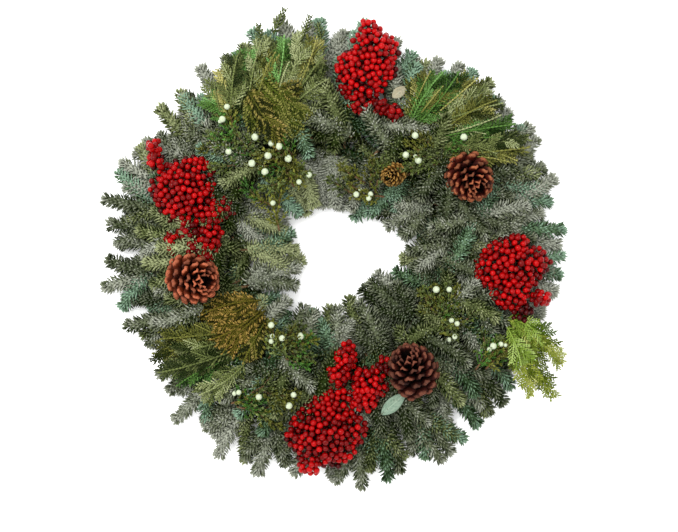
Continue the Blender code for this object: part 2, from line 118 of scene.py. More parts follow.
soft_box = bpy.data.lights.new("soft_box", "AREA")
soft_box.size = SOFT_BOX_SIZE
soft_box.energy = SOFT_BOX_POWER
soft_box_stand = stand("soft_box", soft_box)
soft_box_stand.location = SOFT_BOX_PLACE
soft_box_stand.rotation_euler = (-SOFT_BOX_PLACE).to_track_quat("-Z", "Y").to_euler()

camera = bpy.data.cameras.new("camera")
camera.lens = LENS
camera_stand = stand("camera", camera)
camera_stand.location = middle + VIEW_OFFSET
camera_stand.location.z = VIEW_HEIGHT_OVER_TABLE + VIEW_WIDTH * LENS / camera.sensor_width
bpy.context.scene.camera = camera_stand

# ---- Wire frame.
# Two rings of steel wire with short cross wires welded between them, dipped in dark green enamel that is
# uneven and chipped down to the steel in small spots.
PATCH_SIZE = 18.0  # enamel patches to the metre
CHIP_SIZE = 420.0
CHIPPED = (0.68, 0.74)  # grain at which the enamel starts to go, and is gone


def add_node(kind, settings=None, tree=None, **inputs):
    """A shader node with its own settings. Each input is a plain value or another node's socket, and the node
    goes into the tree of these sockets, or into the one given."""
    sockets = [value for value in inputs.values() if isinstance(value, bpy.types.NodeSocket)]
    tree = tree or sockets[0].id_data
    node = tree.nodes.new("ShaderNode" + kind)
    for name, value in (settings or {}).items():
        setattr(node, name, value)
    for name, value in inputs.items():
        socket = node.inputs[int(name[1:]) if name[1:].isdigit() else name.replace("_", " ")]
        if isinstance(value, bpy.types.NodeSocket):
            tree.links.new(value, socket)
        else:
            socket.default_value = value
    return node


def maths(operation, first, second=0.0):
    return add_node("Math", {"operation": operation}, _0=first, _1=second).outputs[0]


def plus(first, second):
    return maths("ADD", first, second)


def times(first, second):
    return maths("MULTIPLY", first, second)


def scaled(colour, share):
    return add_node("VectorMath", {"operation": "SCALE"}, _0=colour, Scale=share).outputs[0]


def blend(share, first, second, how="MIX"):
    settings = {"data_type": "RGBA", "blend_type": how}
    return add_node("Mix", settings, _0=share, _6=first, _7=second).outputs[2]


def ramp(value, low, high, to_low=0.0, to_high=1.0):
    return add_node("MapRange", {"interpolation_type": "SMOOTHSTEP"}, Value=value, From_Min=low,
                    From_Max=high, To_Min=to_low, To_Max=to_high).outputs[0]


def new_group(name, colours, values, results):
    """A node group with its named inputs, and its outputs: a colour and other results."""
    group = bpy.data.node_groups.new(name, "ShaderNodeTree")
    for side, kind, sockets in (("INPUT", "Color", colours), ("INPUT", "Float", values),
                                ("OUTPUT", "Color", ("Color",)), ("OUTPUT", "Float", results)):
        for socket in sockets:
            group.interface.new_socket(socket, in_out=side, socket_type="NodeSocket" + kind)
    return group, group.nodes.new("NodeGroupInput").outputs


def give_back(group, **results):
    ends = group.nodes.new("NodeGroupOutput").inputs
    for name, result in results.items():
        group.links.new(result, ends[name])
    return group


def worn_enamel_group():
    """Enamel over steel wire: uneven patches, fine grain and small chips."""
    results = ("Metallic", "Roughness", "Height")
    group, given = new_group("worn enamel", ("Enamel", "Steel"), ("Wear",), results)
    place = add_node("TexCoord", tree=group).outputs["Object"]
    patch = add_node("TexNoise", Vector=place, Scale=PATCH_SIZE, Detail=3.0).outputs["Fac"]
    fine = add_node("TexNoise", Vector=place, Scale=CHIP_SIZE, Detail=2.0).outputs["Fac"]
    enamel = scaled(given["Enamel"], ramp(patch, 0.3, 0.7, 0.7, 1.35))
    bare = ramp(plus(fine, given["Wear"]), *CHIPPED)
    rough = plus(ramp(patch, 0.3, 0.7, 0.34, 0.52), times(fine, 0.12))
    return give_back(group, Color=blend(bare, enamel, given["Steel"]), Metallic=times(bare, 0.8),
                     Roughness=rough, Height=maths("SUBTRACT", times(fine, 0.4), bare))


def dress(tree, colour, rough, height, strength, depth, specular=0.5):
    """Gives a material's surface its colour, roughness, relief and gloss. Gives back the surface's inputs."""
    surface = tree.nodes["Principled BSDF"].inputs
    relief = add_node("Bump", Strength=strength, Distance=depth, Height=height).outputs[0]
    for name, source in (("Base Color", colour), ("Roughness", rough), ("Normal", relief)):
        tree.links.new(source, surface[name])
    surface["Specular IOR Level"].default_value = specular
    return surface


def dress_wires(prefix, name, enamel, steel, wear):
    """Gives all wires whose names start alike one enamel."""
    material, tree = new_finish(name)
    finish = add_node("Group", {"node_tree": worn_enamel}, tree, Enamel=(*enamel, 1), Steel=(*steel, 1),
                      Wear=wear).outputs
    surface = dress(tree, finish["Color"], finish["Roughness"], finish["Height"], 0.3, 0.2 * MM)
    tree.links.new(finish["Metallic"], surface["Metallic"])
    for node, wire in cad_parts.items():
        if node.startswith(prefix):
            for slot in wire.material_slots:
                slot.material = material


worn_enamel = worn_enamel_group()
dress_wires("wire_frame", "frame green", (0.016, 0.050, 0.022), (0.30, 0.29, 0.27), 0.0)

# ---- Fir bundles.
# Sixteen bundles of noble fir cut from the tips of boughs. Each is tied at its waist on the ring, its longer
# boughs fanned outwards and its shorter ones into the hole, and every bough ends in thick needled shoots.
FIR_BUNDLES = (  # how much lighter than usual a bundle's shoots are, in part painted light that makes the bundles towards the soft box lighter: at the rim, on the crown, in the hole; where each long bough points beside the bundle's heading and how much it has grown, mm; and how much the two short boughs have grown, mm
    # where each long bough points beside the bundle's heading and how much it has grown, mm; and how much
    # the two short boughs have grown, mm
    ((-0.04, -0.29, 0.08), ((-3, 6), (3, -2), (8, 6)), (-18, 4)),
    ((0.11, -0.53, -0.07), ((-8, 6), (-3, -10), (1.5, -3), (7, 12)), (-15, 3)),
    ((0.25, -0.14, -0.08), ((-9, 6), (-4.5, -5), (2, -13), (8, 11)), (3, 3)),
    ((0.43, -0.34, 0.48), ((-5, 5), (-1, -10), (3, -16), (9, 16)), (-1, 4)),
    ((-0.05, -0.08, 0.55), ((-7, 9), (0, 5), (6, -5)), (-3, 1)),
    ((0.06, -0.29, 0.22), ((-11, 5), (-5, 13), (0, -3), (5, -5), (10, 8)), (-1, 0)),
    ((0.02, -0.46, 0.43), ((-6, -1), (0, 2), (5, 10)), (-12, -1)),
    ((-0.11, -0.08, 0.26), ((-11, 15), (-4.5, 3), (3, -20), (10, 12)), (-10, 9)),
    ((-0.34, -0.22, 0.19), ((-6, -34), (0, 2), (5, -10)), (5, 4)),
    ((-0.07, 0.08, 0.27), ((-8, -4), (-1.5, -6), (3, 14)), (-18, -4)),
    ((-0.02, -0.32, 0.02), ((-9, -2), (-3, 10), (6, 3)), (-6, 0)),
    ((-0.03, -0.42, 0.05), ((-11, -16), (-5, -5), (2.5, -11), (10, 11)), (-5, 3)),
    ((-0.26, -0.58, -0.07), ((-7, 0), (-1, -8), (6, 1), (10.5, 3)), (-1, -3)),
    ((-0.2, -0.55, -0.54), ((-3, -4), (2.5, -20), (8, -1)), (-2, 6)),
    ((-0.24, -0.28, -0.03), ((-10, 8), (-4, 4), (1, 4), (7, 6)), (3, -10)),
    ((0.21, -0.22, -0.02), ((-8, -2), (0, 4), (5, 6), (10, 10)), (-5, -5)),
)
FIRST_SEAM = 8.0  # degrees
BUNDLE_STEP = 360.0 / len(FIR_BUNDLES)
BOUGHS = {  # its foot's radius and height; its leading shoot; its side shoots, their angle to it; its tone
    "rim": (188, 15, 72, 60, 27, 0.50), "shoulder": (172, 26, 68, 54, 33, 0.54),
    "hole": (165, 22, -64, 48, 26, 0.44),
}
CROWN_SHOOTS = (  # its foot, degrees beside the heading and radius; where it points; its height and tone, the lower shoots painted darker as shade
    (-8, 158, 95, 34, 0.10), (8, 186, -95, 34, 0.22), (-4, 196, 170, 44, 0.42), (-6, 150, 65, 46, 0.54),
    (2, 160, 12, 50, 0.66), (7, 172, -62, 46, 0.50))
OLD_SHOOTS = (  # its foot and where it points, in the same way
    (-14, 124, 78), (-4, 168, 75), (3, 140, -60), (9, 204, -80), (6, 172, -75), (-6, 214, 60), (0, 118, 85),
    (15, 144, -92))
RIM_HEIGHT = (15, 24)  # of the tips over the table, mm
SHOULDER_HEIGHT = (38, 46)
SHOULDER_EDGE = (232, 262)  # radius out to the tips
CROWN_RUN = (56, 66)  # length of a shoot
OLD_SHOOT_HEIGHT = (12, 19)
OLD_SHOOT_RUN = 64
HOLE_BOUGHS = ((-4.5, 20, -4, 1), (4.5, 32, 4, 2))  # beside the heading; height; how much shorter; sides
# painted shade: the dark tone of the shoots under it all
UNDER_SHADE_TONE = 0.06
FIR_HUES = {  # how many shoots take each hue
    "rim": (0.62, 0.14, 0.24), "shoulder": (0.62, 0.14, 0.24), "crown": (0.30, 0.54, 0.16),
    "hole": (0.64, 0.14, 0.22),
}
COLOUR_MAP = "OFBake"
NEEDLE = (15 * MM, 2.8 * MM, 1.3 * MM)  # length, width, thickness
NEEDLE_WIDEST = 0.66  # part of its length
NEEDLE_BASES = (6.6 * MM, 5.0 * MM)  # radius at the shoot's foot and near its end
NEEDLE_RISE = 2.4 * MM  # how far a needle's tip curves up
LEAF_ROW = 0.29  # the middle row of a pattern, before it is given its tone
ROW_WIDTH = 0.03  # a needle's share of the tones
HUES = 3  # bands of leaf tones, one over the other: the plant's own green, a warmer one and a cooler one
HUE_MARGIN = 0.06  # kept free at both edges of a band
ROW_MARGIN = 0.04  # and at both ends of a row
BARK_ROW = 0.03
FRUIT_ROW = 0.97
FRUIT_EDGE = 0.94  # all rows above it are fruit
LOWEST_TONE = 0.09
HIGHEST_TONE = 0.92
TONES = HIGHEST_TONE - LOWEST_TONE
SHOOT_LENGTH = 74 * MM
SHOOT_BOW = 5 * MM
SHOOT_NEEDLES = 148
BUD_NEEDLES = 18  # of them, those that close the shoot's end
OLD_SHOOT_NEEDLES = 86
GOLDEN_ANGLE = 137.508
NEEDLE_TIPS = 11 * MM  # how far the last needles stand past a shoot's end
TRIMMINGS = ("red_berries", "pine_cone", "cedar_spray", "broad_leaf")
UNDER_TRIMMING = 10 * MM
UNDER_RADIUS = 1.22  # of the trimming's own radius
TOP_PAINTED_LIGHT = 0.48  # how much lighter a shoot's top needles are painted than those at its sides, which are painted as in shade
UP = Vector((0, 0, 1))


def way(degrees, rise=0.0):
    """A level direction, or one that rises."""
    angle = radians(degrees)
    return cos(angle), sin(angle), rise


def reach(node, degrees, start=Vector((0, 0, 0))):
    """How far a CAD node goes from a start in a level direction."""
    towards = way(degrees)
    points = np.array([vert.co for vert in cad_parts[node].data.vertices])
    return float((points @ np.array(towards)).max()) - start.dot(Vector(towards))


def polar(radius, degrees, height):
    """A point round the wreath's middle."""
    x, y, _ = way(degrees)
    return middle + Vector((radius * x, radius * y, height))


def new_pattern():
    bm = bmesh.new()
    bm.loops.layers.uv.new(COLOUR_MAP)
    return bm


def pattern_mesh(name, bm):
    for face in bm.faces:
        face.smooth = True
    mesh = bpy.data.meshes.new(name)
    bm.to_mesh(mesh)
    bm.free()
    return mesh


def ball(bm, segments, rings, radius=1.0):
    """A ball with its poles up and down. Gives back its points."""
    made = bmesh.ops.create_uvsphere(bm, u_segments=segments, v_segments=rings, radius=radius, calc_uvs=True)
    return made["verts"]


def lay_out_sides(bm, length, sides):
    """Spreads a blade over the colour map: underside, left and right in turn along U, across it along V."""
    bm.normal_update()
    layer = bm.loops.layers.uv.active
    for face in bm.faces:
        third = 0 if face.normal.z < -0.1 else 1 if face.normal.y > 0 else 2
        side = int(sides * sum(loop[layer].uv.x for loop in face.loops) / len(face.loops))
        for loop in face.loops:
            across = sides * loop[layer].uv.x - side - 0.5
            along = min(max(loop.vert.co.x / length, 0.0), 1.0)
            along = third + ROW_MARGIN + (1 - 2 * ROW_MARGIN) * along
            loop[layer].uv = (along / 3, LEAF_ROW + ROW_WIDTH * across)


def fir_needle():
    """A three-sided needle along +X, its flat side down, thin at the root, blunt and curved up at the end."""
    length, width, thickness = NEEDLE
    bm = new_pattern()
    for vert in ball(bm, 3, 2):
        x, y, z = vert.co
        along = NEEDLE_WIDEST + z * (1 - NEEDLE_WIDEST if z > 0 else NEEDLE_WIDEST)
        vert.co = (along * length, 0.58 * width * x, thickness * (y + 0.3))
    lay_out_sides(bm, length, 3)
    for vert in bm.verts:
        vert.co.z += NEEDLE_RISE * (vert.co.x / length) ** 2
    return pattern_mesh("needle", bm)


def set_down(bm, pattern, place, tone=None, hue=None, shift=0.0):
    """Adds a copy of a pattern, its points moved by place. Leaves' rows of the colour map move up by tone,
    and then into the band of their hue. All colours move along the map by shift."""
    copy = pattern.copy()
    points = np.empty(3 * len(copy.vertices))
    copy.vertices.foreach_get("co", points)
    copy.vertices.foreach_set("co", place(points.reshape(-1, 3)).ravel())
    corners = copy.uv_layers[COLOUR_MAP].data
    spots = np.empty(2 * len(corners))
    corners.foreach_get("uv", spots)
    spots = spots.reshape(-1, 2)
    spots[:, 0] += shift
    leafy = (spots[:, 1] > 2 * BARK_ROW) & (spots[:, 1] < FRUIT_EDGE)
    if tone is not None:
        spots[leafy, 1] = np.clip(spots[leafy, 1] + tone, LOWEST_TONE, HIGHEST_TONE)
    if hue is not None:
        part = (spots[leafy, 1] - LOWEST_TONE) / TONES
        part = (hue + HUE_MARGIN + (1 - 2 * HUE_MARGIN) * part) / HUES
        spots[leafy, 1] = LOWEST_TONE + TONES * part
    corners.foreach_set("uv", spots.ravel())
    bm.from_mesh(copy)
    bpy.data.meshes.remove(copy)


def by_matrix(matrix):
    turn = np.array(matrix.to_3x3())
    shift = np.array(matrix.translation)
    return lambda points: points @ turn.T + shift


def along_bow(base, tip, bow, length, roll=0.0, spread=1.0):
    """Bends a pattern of the given length along a bow from base to tip, its middle pushed out by bow."""
    chord = np.array(tip - base)
    push = 4 * np.array(bow)
    stretch = np.linalg.norm(chord) / length

    def place(points):
        part = points[:, :1] / length
        held = np.clip(part, 0.0, 1.0)
        tangent = chord + push * (1 - 2 * held)
        tangent /= np.linalg.norm(tangent, axis=1, keepdims=True)
        side = np.cross(np.array(UP), tangent)
        side /= np.linalg.norm(side, axis=1, keepdims=True)
        up = np.cross(tangent, side)
        across = spread * (points[:, 1:2] * cos(roll) - points[:, 2:] * sin(roll))
        above = spread * (points[:, 1:2] * sin(roll) + points[:, 2:] * cos(roll))
        spine = np.array(base) + chord * held + push * held * (1 - held)
        return spine + tangent * (part - held) * length * stretch + side * across + up * above

    return place


def spin(angle, axis):
    return Matrix.Rotation(angle, 4, axis)


def rod(bm, foot, end, thick, thin, cuts, height, length, where):
    """A five-sided rod along +X, closed at both ends, with rings so that it can bend. Where gives a spot on
    the colour map from a part of the length and a side, -1 to 1."""
    place = Matrix.Translation((foot + (end - foot) / 2, 0, height)) @ spin(pi / 2, "Y")
    before = set(bm.faces)
    made = bmesh.ops.create_cone(bm, cap_ends=True, segments=5, radius1=thick, radius2=thin,
                                 depth=end - foot, matrix=place)
    corners = set(made["verts"])
    long_edges = [edge for edge in bm.edges if corners.issuperset(edge.verts)
                  and abs(edge.verts[0].co.x - edge.verts[1].co.x) > 0.5 * (end - foot)]
    bmesh.ops.subdivide_edges(bm, edges=long_edges, cuts=cuts)
    layer = bm.loops.layers.uv.active
    for face in bm.faces:
        if face in before:
            continue
        _, middle_y, middle_z = face.calc_center_median()
        for loop in face.loops:
            x, y, z = loop.vert.co
            side = cos(atan2(middle_z, middle_y) - atan2(z, y))
            loop[layer].uv = where(x / length, side)


def stem(bm, length, thick, thin):
    """A round bark-covered stem."""
    rod(bm, 0.0, length, thick, thin, 4, 0.0, length, lambda part, side: (part, BARK_ROW * (1 + 0.6 * side)))


def needle_bases(bm):
    """The close-set lower ends of a shoot's needles, as one sheath round its stem."""
    rod(bm, 0.09 * SHOOT_LENGTH, 0.99 * SHOOT_LENGTH, *NEEDLE_BASES, 2, 0.5 * MM, SHOOT_LENGTH,
        lambda part, side: ((1.2 + 0.36 * part) / 3, LEAF_ROW + 0.10 + 0.04 * side))


def fir_shoot(seed, needles, bud_needles):
    """A straight plump fir shoot: needles all round but for its underside, swept forward to close its end."""
    draw = random.Random(seed)
    bm = new_pattern()
    stem(bm, SHOOT_LENGTH, 1.7 * MM, 1.1 * MM)
    needle_bases(bm)
    for number in range(needles):
        part = min(1.0, (number + draw.random()) / (needles - bud_needles)) ** 0.9
        turn = radians(0.76 * ((number * GOLDEN_ANGLE) % 360.0 - 180.0))
        lean = draw.uniform(14, 60) if part == 1.0 else 64 - 10 * part ** 3 + draw.uniform(-12, 12)
        forward, outward, _ = way(lean)
        direction = Vector((forward, outward * sin(turn), outward * cos(turn)))
        across = UP.cross(direction).normalized()
        above = direction.cross(across)
        size = (0.88 + 0.14 * sin(pi * min(part + 0.15, 1.0))) * draw.uniform(0.88, 1.1)
        matrix = Matrix((direction, across, above)).transposed() * size
        matrix = Matrix.Translation((SHOOT_LENGTH * part, 0, 0)) @ matrix.to_4x4()
        # painted light and shade: the needles on a shoot's top lighter, those at its sides darker
        tone = draw.uniform(-0.05, 0.04) + 0.15 * (part - 0.3) + TOP_PAINTED_LIGHT * (cos(turn) - 0.45)
        tone += 0.22 * sin(19 * part + 1.2 * turn + 2 * seed)
        set_down(bm, needle, by_matrix(matrix), tone)
    return pattern_mesh("fir shoot", bm)


def finish_piece(name, bm, material, slot, node):
    """Turns a finished bmesh into a piece of the wreath that stands for its CAD node."""
    mesh = pattern_mesh(name, bm)
    mesh.materials.append(material)
    piece = stand(name, mesh)
    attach(piece, "root")
    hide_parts(node)


def map_spot(tree):
    """Where a spot lies on the colour map, X and Y."""
    place = add_node("UVMap", {"uv_map": COLOUR_MAP}, tree).outputs[0]
    return add_node("SeparateXYZ", _0=place).outputs


def mottle(place, scale_along, scale_row, detail=2.0):
    """Noise that is drawn out along a blade."""
    place = add_node("CombineXYZ", X=times(place["X"], scale_along),
                     Y=times(place["Y"], scale_row)).outputs[0]
    return add_node("TexNoise", Vector=place, Scale=1.0, Detail=detail).outputs["Fac"]


def leaf_colour_group():
    """Colours of needles and scale leaves, read from the colour map: U runs along each side of a blade. V is
    the row: bark lowest, then three bands of leaves from shaded to fresh, and waxy fruit at the top."""
    colours = ("Shade", "Body", "Fresh", "Tip", "Under", "Warm", "Cool", "Bark", "Fruit")
    group, given = new_group("leaf colours", colours, ("Gloss",), ("Roughness", "Height"))
    place = map_spot(group)
    row = place["Y"]
    thirds = times(place["X"], 3.0)
    along = maths("FRACT", thirds)
    bands = times(maths("SUBTRACT", row, LOWEST_TONE), HUES / TONES)
    hue = maths("FLOOR", bands)
    broad = mottle(place, 9.0, 80.0)
    fine = mottle(place, 60.0, 800.0)
    drift = times(maths("SUBTRACT", broad, 0.5), 0.30)
    tone = plus(maths("FRACT", bands), drift)
    colour = blend(ramp(tone, 0.08, 0.50), given["Shade"], given["Body"])
    colour = blend(ramp(tone, 0.45, 1.0), colour, given["Fresh"])
    colour = blend(ramp(along, 0.55, 1.0, 0.0, 0.5), colour, given["Tip"])
    below = maths("LESS_THAN", maths("FLOOR", thirds), 0.5)
    colour = blend(times(below, 0.5), colour, given["Under"])
    for number, tint in ((1.0, "Warm"), (2.0, "Cool")):
        colour = blend(maths("COMPARE", hue, number), colour, given[tint], "MULTIPLY")
    # painted shade: every blade darker towards its root, where the blades crowd together round the stem
    root = ramp(along, 0.02, 0.35, 0.3, 0.0)
    colour = blend(root, colour, given["Shade"], "MULTIPLY")
    colour = scaled(colour, ramp(fine, 0.3, 0.7, 0.86, 1.13))
    fruit = blend(ramp(broad, 0.35, 0.7, 0.0, 0.4), given["Fruit"], given["Fresh"])
    colour = blend(maths("GREATER_THAN", row, FRUIT_EDGE), colour, fruit)
    bark = scaled(given["Bark"], ramp(fine, 0.25, 0.75, 0.5, 1.5))
    colour = blend(maths("LESS_THAN", row, 2 * BARK_ROW), colour, bark)
    return give_back(group, Color=colour, Roughness=plus(given["Gloss"], ramp(fine, 0.2, 0.8, -0.10, 0.12)),
                     Height=plus(fine, times(broad, 0.5)))


def leafy_material(name, gloss, **colours):
    """A finish for greenery: the shared leaf colours with this plant's own hues."""
    material, tree = new_finish(name)
    hues = {hue: (*colour, 1.0) for hue, colour in colours.items()}
    leaf = add_node("Group", {"node_tree": leaf_colours}, tree, Gloss=gloss, **hues).outputs
    dress(tree, leaf["Color"], leaf["Roughness"], leaf["Height"], 0.25, 0.3 * MM, 0.04)
    return material


leaf_colours = leaf_colour_group()
fir_green = leafy_material(
    "fir green", 0.5, Shade=(0.011, 0.019, 0.003), Body=(0.081, 0.095, 0.051), Fresh=(0.242, 0.254, 0.206),
    Tip=(0.182, 0.190, 0.150), Under=(0.11, 0.15, 0.09), Warm=(0.92, 0.97, 0.60), Cool=(0.68, 1.0, 0.86),
    Bark=(0.10, 0.06, 0.03))

needle = fir_needle()
fir_shoots = [fir_shoot(seed, SHOOT_NEEDLES, BUD_NEEDLES) for seed in range(5)]
old_shoots = [fir_shoot(seed, OLD_SHOOT_NEEDLES, BUD_NEEDLES // 2) for seed in range(5, 7)]
bm = new_pattern()
stem(bm, SHOOT_LENGTH, 2.6 * MM, 1.6 * MM)
bare_stem = pattern_mesh("bare stem", bm)
trimmings = [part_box(node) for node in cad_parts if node.startswith(TRIMMINGS)]


def press_down(base, tip):
    """Keeps a shoot that runs below a trimming under that trimming's foot."""
    across = (base + tip) / 2
    for low, high in trimmings:
        spot = [2 * (across[axis] - low[axis]) / (high[axis] - low[axis]) - 1 for axis in (0, 1)]
        if hypot(*spot) < UNDER_RADIUS:
            base.z = min(base.z, low.z - UNDER_TRIMMING)
            tip.z = min(tip.z, low.z - UNDER_TRIMMING)


def fir_bundle(number, tone_and_side_light, long_boughs, short_boughs):
    name = f"fir_bundle_{number:02d}"
    draw = random.Random(100 + number)
    heading = FIRST_SEAM + (number - 0.5) * BUNDLE_STEP
    # tone shifts for the three parts, in part painted light: the bundles towards the soft box lighter
    at_rim, on_crown, in_hole = tone_and_side_light
    bm = new_pattern()

    def shoot(base, tip, bow, tone, kind, shoots=fir_shoots):
        base, tip = Vector(base), Vector(tip)
        press_down(base, tip)
        bow = bow * UP + (tip - base).cross(UP) * draw.uniform(-0.07, 0.07)
        place = along_bow(base, tip, bow, SHOOT_LENGTH, draw.uniform(-0.5, 0.5), draw.uniform(1.0, 1.14))
        hue = draw.choices(range(HUES), FIR_HUES[kind])[0]
        set_down(bm, draw.choice(shoots), place, tone - LEAF_ROW + draw.uniform(-0.31, 0.30), hue)

    def bough(kind, root_heading, edge, out, height, tone_and_light, rise=0.0, stray=0.0, sides=2):
        """A stem that forks into a leading shoot, whose tip is at the edge, and side shoots."""
        radius, foot, lead, side_length, side_angle, tone = BOUGHS[kind]
        root = polar(radius * MM, root_heading, foot * MM)
        fork = polar(edge - lead * MM, out, height + rise)
        tip = polar(edge, out + stray, height)
        set_down(bm, bare_stem, along_bow(root, fork, SHOOT_BOW * UP, SHOOT_LENGTH))
        shoot(fork, tip, SHOOT_BOW, tone + tone_and_light, kind)
        for side in (1, -1)[:sides]:
            turn = side * (side_angle + draw.uniform(-7, 7))
            start = fork + (tip - fork) * draw.uniform(-0.12, 0.22)
            run = (Matrix.Rotation(radians(turn), 3, "Z") @ (tip - fork)).normalized()
            run *= side_length * MM * draw.uniform(0.82, 1.08)
            end = start + run + draw.uniform(-6, 4) * MM * UP
            shoot(start, end, SHOOT_BOW, tone + tone_and_light, kind)

    # the rim: long boughs that lie low and reach right out
    for degrees, grown in long_boughs:
        out = heading + degrees
        edge = reach(name, out, middle) - NEEDLE_TIPS + (grown - draw.uniform(0, 4)) * MM
        height = draw.uniform(*RIM_HEIGHT) * MM
        bough("rim", heading + 0.3 * degrees, edge, out, height, at_rim, 3 * MM, draw.uniform(-2, 2))
    # the shoulder: two boughs over them
    for degrees in (-4.5, 4.5):
        out = heading + degrees + draw.uniform(-2.5, 2.5)
        edge = draw.uniform(*SHOULDER_EDGE) * MM
        height = draw.uniform(*SHOULDER_HEIGHT) * MM
        bough("shoulder", heading, edge, out, height, (at_rim + on_crown) / 2)
    # the crown: short shoots on top of the waist, some along the ring and some across it
    for degrees, radius, turned_by, height, tone in CROWN_SHOOTS:
        base = polar(radius * MM, heading + degrees + draw.uniform(-2, 2), height * MM)
        run = Vector(way(heading + turned_by + draw.uniform(-15, 15), 0.12)) * draw.uniform(*CROWN_RUN) * MM
        shoot(base, base + run, SHOOT_BOW, tone + on_crown, "crown")
    # under it all, close to the frame: older, thinner shoots, painted dark as the shade under the boughs
    for degrees, radius, turned_by in OLD_SHOOTS:
        base = polar(radius * MM, heading + degrees, draw.uniform(*OLD_SHOOT_HEIGHT) * MM)
        run = Vector(way(heading + turned_by + draw.uniform(-10, 10), 0.05)) * OLD_SHOOT_RUN * MM
        shoot(base, base + run, 3 * MM, UNDER_SHADE_TONE, "crown", old_shoots)
    # the hole: two boughs that turn inwards, the lower one with a single side shoot
    for (degrees, height, shorter, sides), grown in zip(HOLE_BOUGHS, short_boughs):
        out = heading + degrees + draw.uniform(-2, 2)
        edge = NEEDLE_TIPS - reach(name, out + 180, middle) + (shorter - grown) * MM
        bough("hole", heading, edge, out, height * MM, in_hole, sides=sides)
    finish_piece(name.replace("bundle", "boughs"), bm, fir_green, "fir_foliage", name)


for number, bundle in enumerate(FIR_BUNDLES, 1):
    fir_bundle(number, *bundle)

# ---- Binding wire.
# One long thin wire wound round the frame, once over every bundle's waist, its enamel a little more chipped
# than the frame's.
dress_wires("binding_wire", "binding green", (0.022, 0.060, 0.020), (0.34, 0.33, 0.30), 0.05)

# ---- Cedar sprays.
# Flat drooping sprays of cedar laid over the fir. A spray is a few fronds side by side, a frond is a long rib
# with feathery strands left and right in turn, and small overlapping scale leaves cover it all.
CEDAR_SCALE = (7.0 * MM, 3.2 * MM, 1.5 * MM)  # length, width, thickness
SCALE_PITCH = 4.0 * MM
RIB_LENGTH = 100 * MM
RIB_WIDTH = 6 * MM  # of the leaves on each side
STRAND_LENGTH = 42 * MM
STRAND_WIDTH = 7 * MM
BRANCHLET_PITCH = 5.2 * MM
STRAND_PITCH = 6.5 * MM  # between strands that leave the rib in turn
FROND_LAYERS = (6, 9, 12)  # mm over the node's foot, in turn
FROND_BOW = (8, 13)  # mm
GOLD_ROW = 0.90
CEDAR_HUES = (0.45, 0.4, 0.15)
CEDAR_SPRAYS = {  # fronds' half width, finish, freshness, each frond's cut end and tip beside the middle
    "top_left_outer": (17, "green", 0.1, ((-22, -51, -35, 4), (-19, -52, -22, 22), (-14, -52, -6, 38),
        (-3, -52, 11, 51), (7, -50, 27, 59), (18, -43, 43, 43), (-8, -41, 7, 9), (-16, -43, -40, -20))),
    "top_left_inner": (16, "green", 0.06, ((-29, -61, -21, 44), (-21, -61, -1, 42), (-10, -57, 22, 52),
        (0, -55, 43, 42), (5, -55, 55, 15), (-10, -55, 8, 5), (8, -55, 55, -19))),
    "top_left_golden": (14, "golden", 0, ((-21, 27, 42, -44), (-10, 32, 55, -18), (-29, 19, 19, -52),
        (0, 24, 40, 11), (-31, 11, -10, -34))),
    "top_right_outer": (16, "green", 0.12, ((-59, -55, -33, 6), (-56, -60, -12, 6), (-51, -65, 9, 6),
        (-43, -65, 30, -1), (-33, -63, 49, -15), (-22, -60, 62, -34), (-46, -52, -17, -18))),
    "top_right_inner": (16, "green", 0.10, ((-65, -32, 51, -3), (-62, -40, 71, -17), (-57, -47, 90, -32),
        (-49, -55, 90, -47), (-39, -61, 61, -63), (-28, -26, 43, 13), (-12, -37, 61, -34))),
    "lower_left_golden": (14, "golden", 0.03, ((41, 23, -35, 5), (44, 15, -24, -27), (47, 10, -8, -47),
        (49, 0, 18, -55), (31, 21, -22, -11))),
    "lower_left_green": (17, "green", -0.04, ((47, 37, -49, 27), (50, 27, -60, 6), (53, 17, -52, -15),
        (58, 6, -29, -31), (61, -2, 3, -41), (29, 24, -31, 6))),
    "right": (16, "bright", 0, ((-34, 68, 43, 8), (-33, 61, 28, -39), (-34, 53, -2, -36), (-34, 70, 17, 42),
        (-31, 63, 8, 24), (-34, 58, -17, 11))),
}
STRAY_STRANDS = {  # single strands that stand out past the fronds, by their cut end and tip
    "top_left_outer": ((26, 51, 21, 82), (1, 27, -3, 56), (-16, 15, -22, 43)),
    "top_left_inner": ((-14, 44, 1, 80), (25, 39, 34, 71), (50, 33, 44, 60)),
}
STRAY_TONE = -0.12


def scale_leaf():
    """One scale leaf, a flat four-sided blade along +X."""
    length, width, thickness = CEDAR_SCALE
    bm = new_pattern()
    for vert in ball(bm, 4, 2):
        x, y, z = vert.co
        vert.co = ((0.5 + 0.5 * z - (0.12 if z == 0 else 0)) * length, 0.5 * width * x, 0.5 * thickness * y)
    lay_out_sides(bm, length, 4)
    return pattern_mesh("scale leaf", bm)


def stations(first, last, step, draw):
    """Where side growths leave a rib, left and right in turn."""
    station, side = first, 1
    while station < last:
        yield station, side
        station += step * draw.uniform(0.8, 1.2)
        side = -side


def scaly(bm, start, heading, length, draw, tone, end_row):
    """Sets scale leaves one over the next along a straight branchlet, the last one perhaps in its own row."""
    count = max(2, round(length / SCALE_PITCH))
    turn = spin(heading, "Z") @ spin(draw.uniform(-0.12, 0.08), "Y")
    for number in range(count):
        part = number / count
        where = turn @ Vector((number * SCALE_PITCH, 0, 0)) + start
        matrix = Matrix.Translation(where) @ turn @ spin(draw.uniform(-0.5, 0.5), "X")
        golden = end_row and number == count - 1
        row = end_row if golden else tone + 0.2 * part + draw.uniform(-0.05, 0.05)
        size = (1.1 - 0.25 * part) * (1.25 if golden else 1.0)
        set_down(bm, cedar_leaf, by_matrix(matrix @ Matrix.Scale(size, 4)), row - LEAF_ROW)


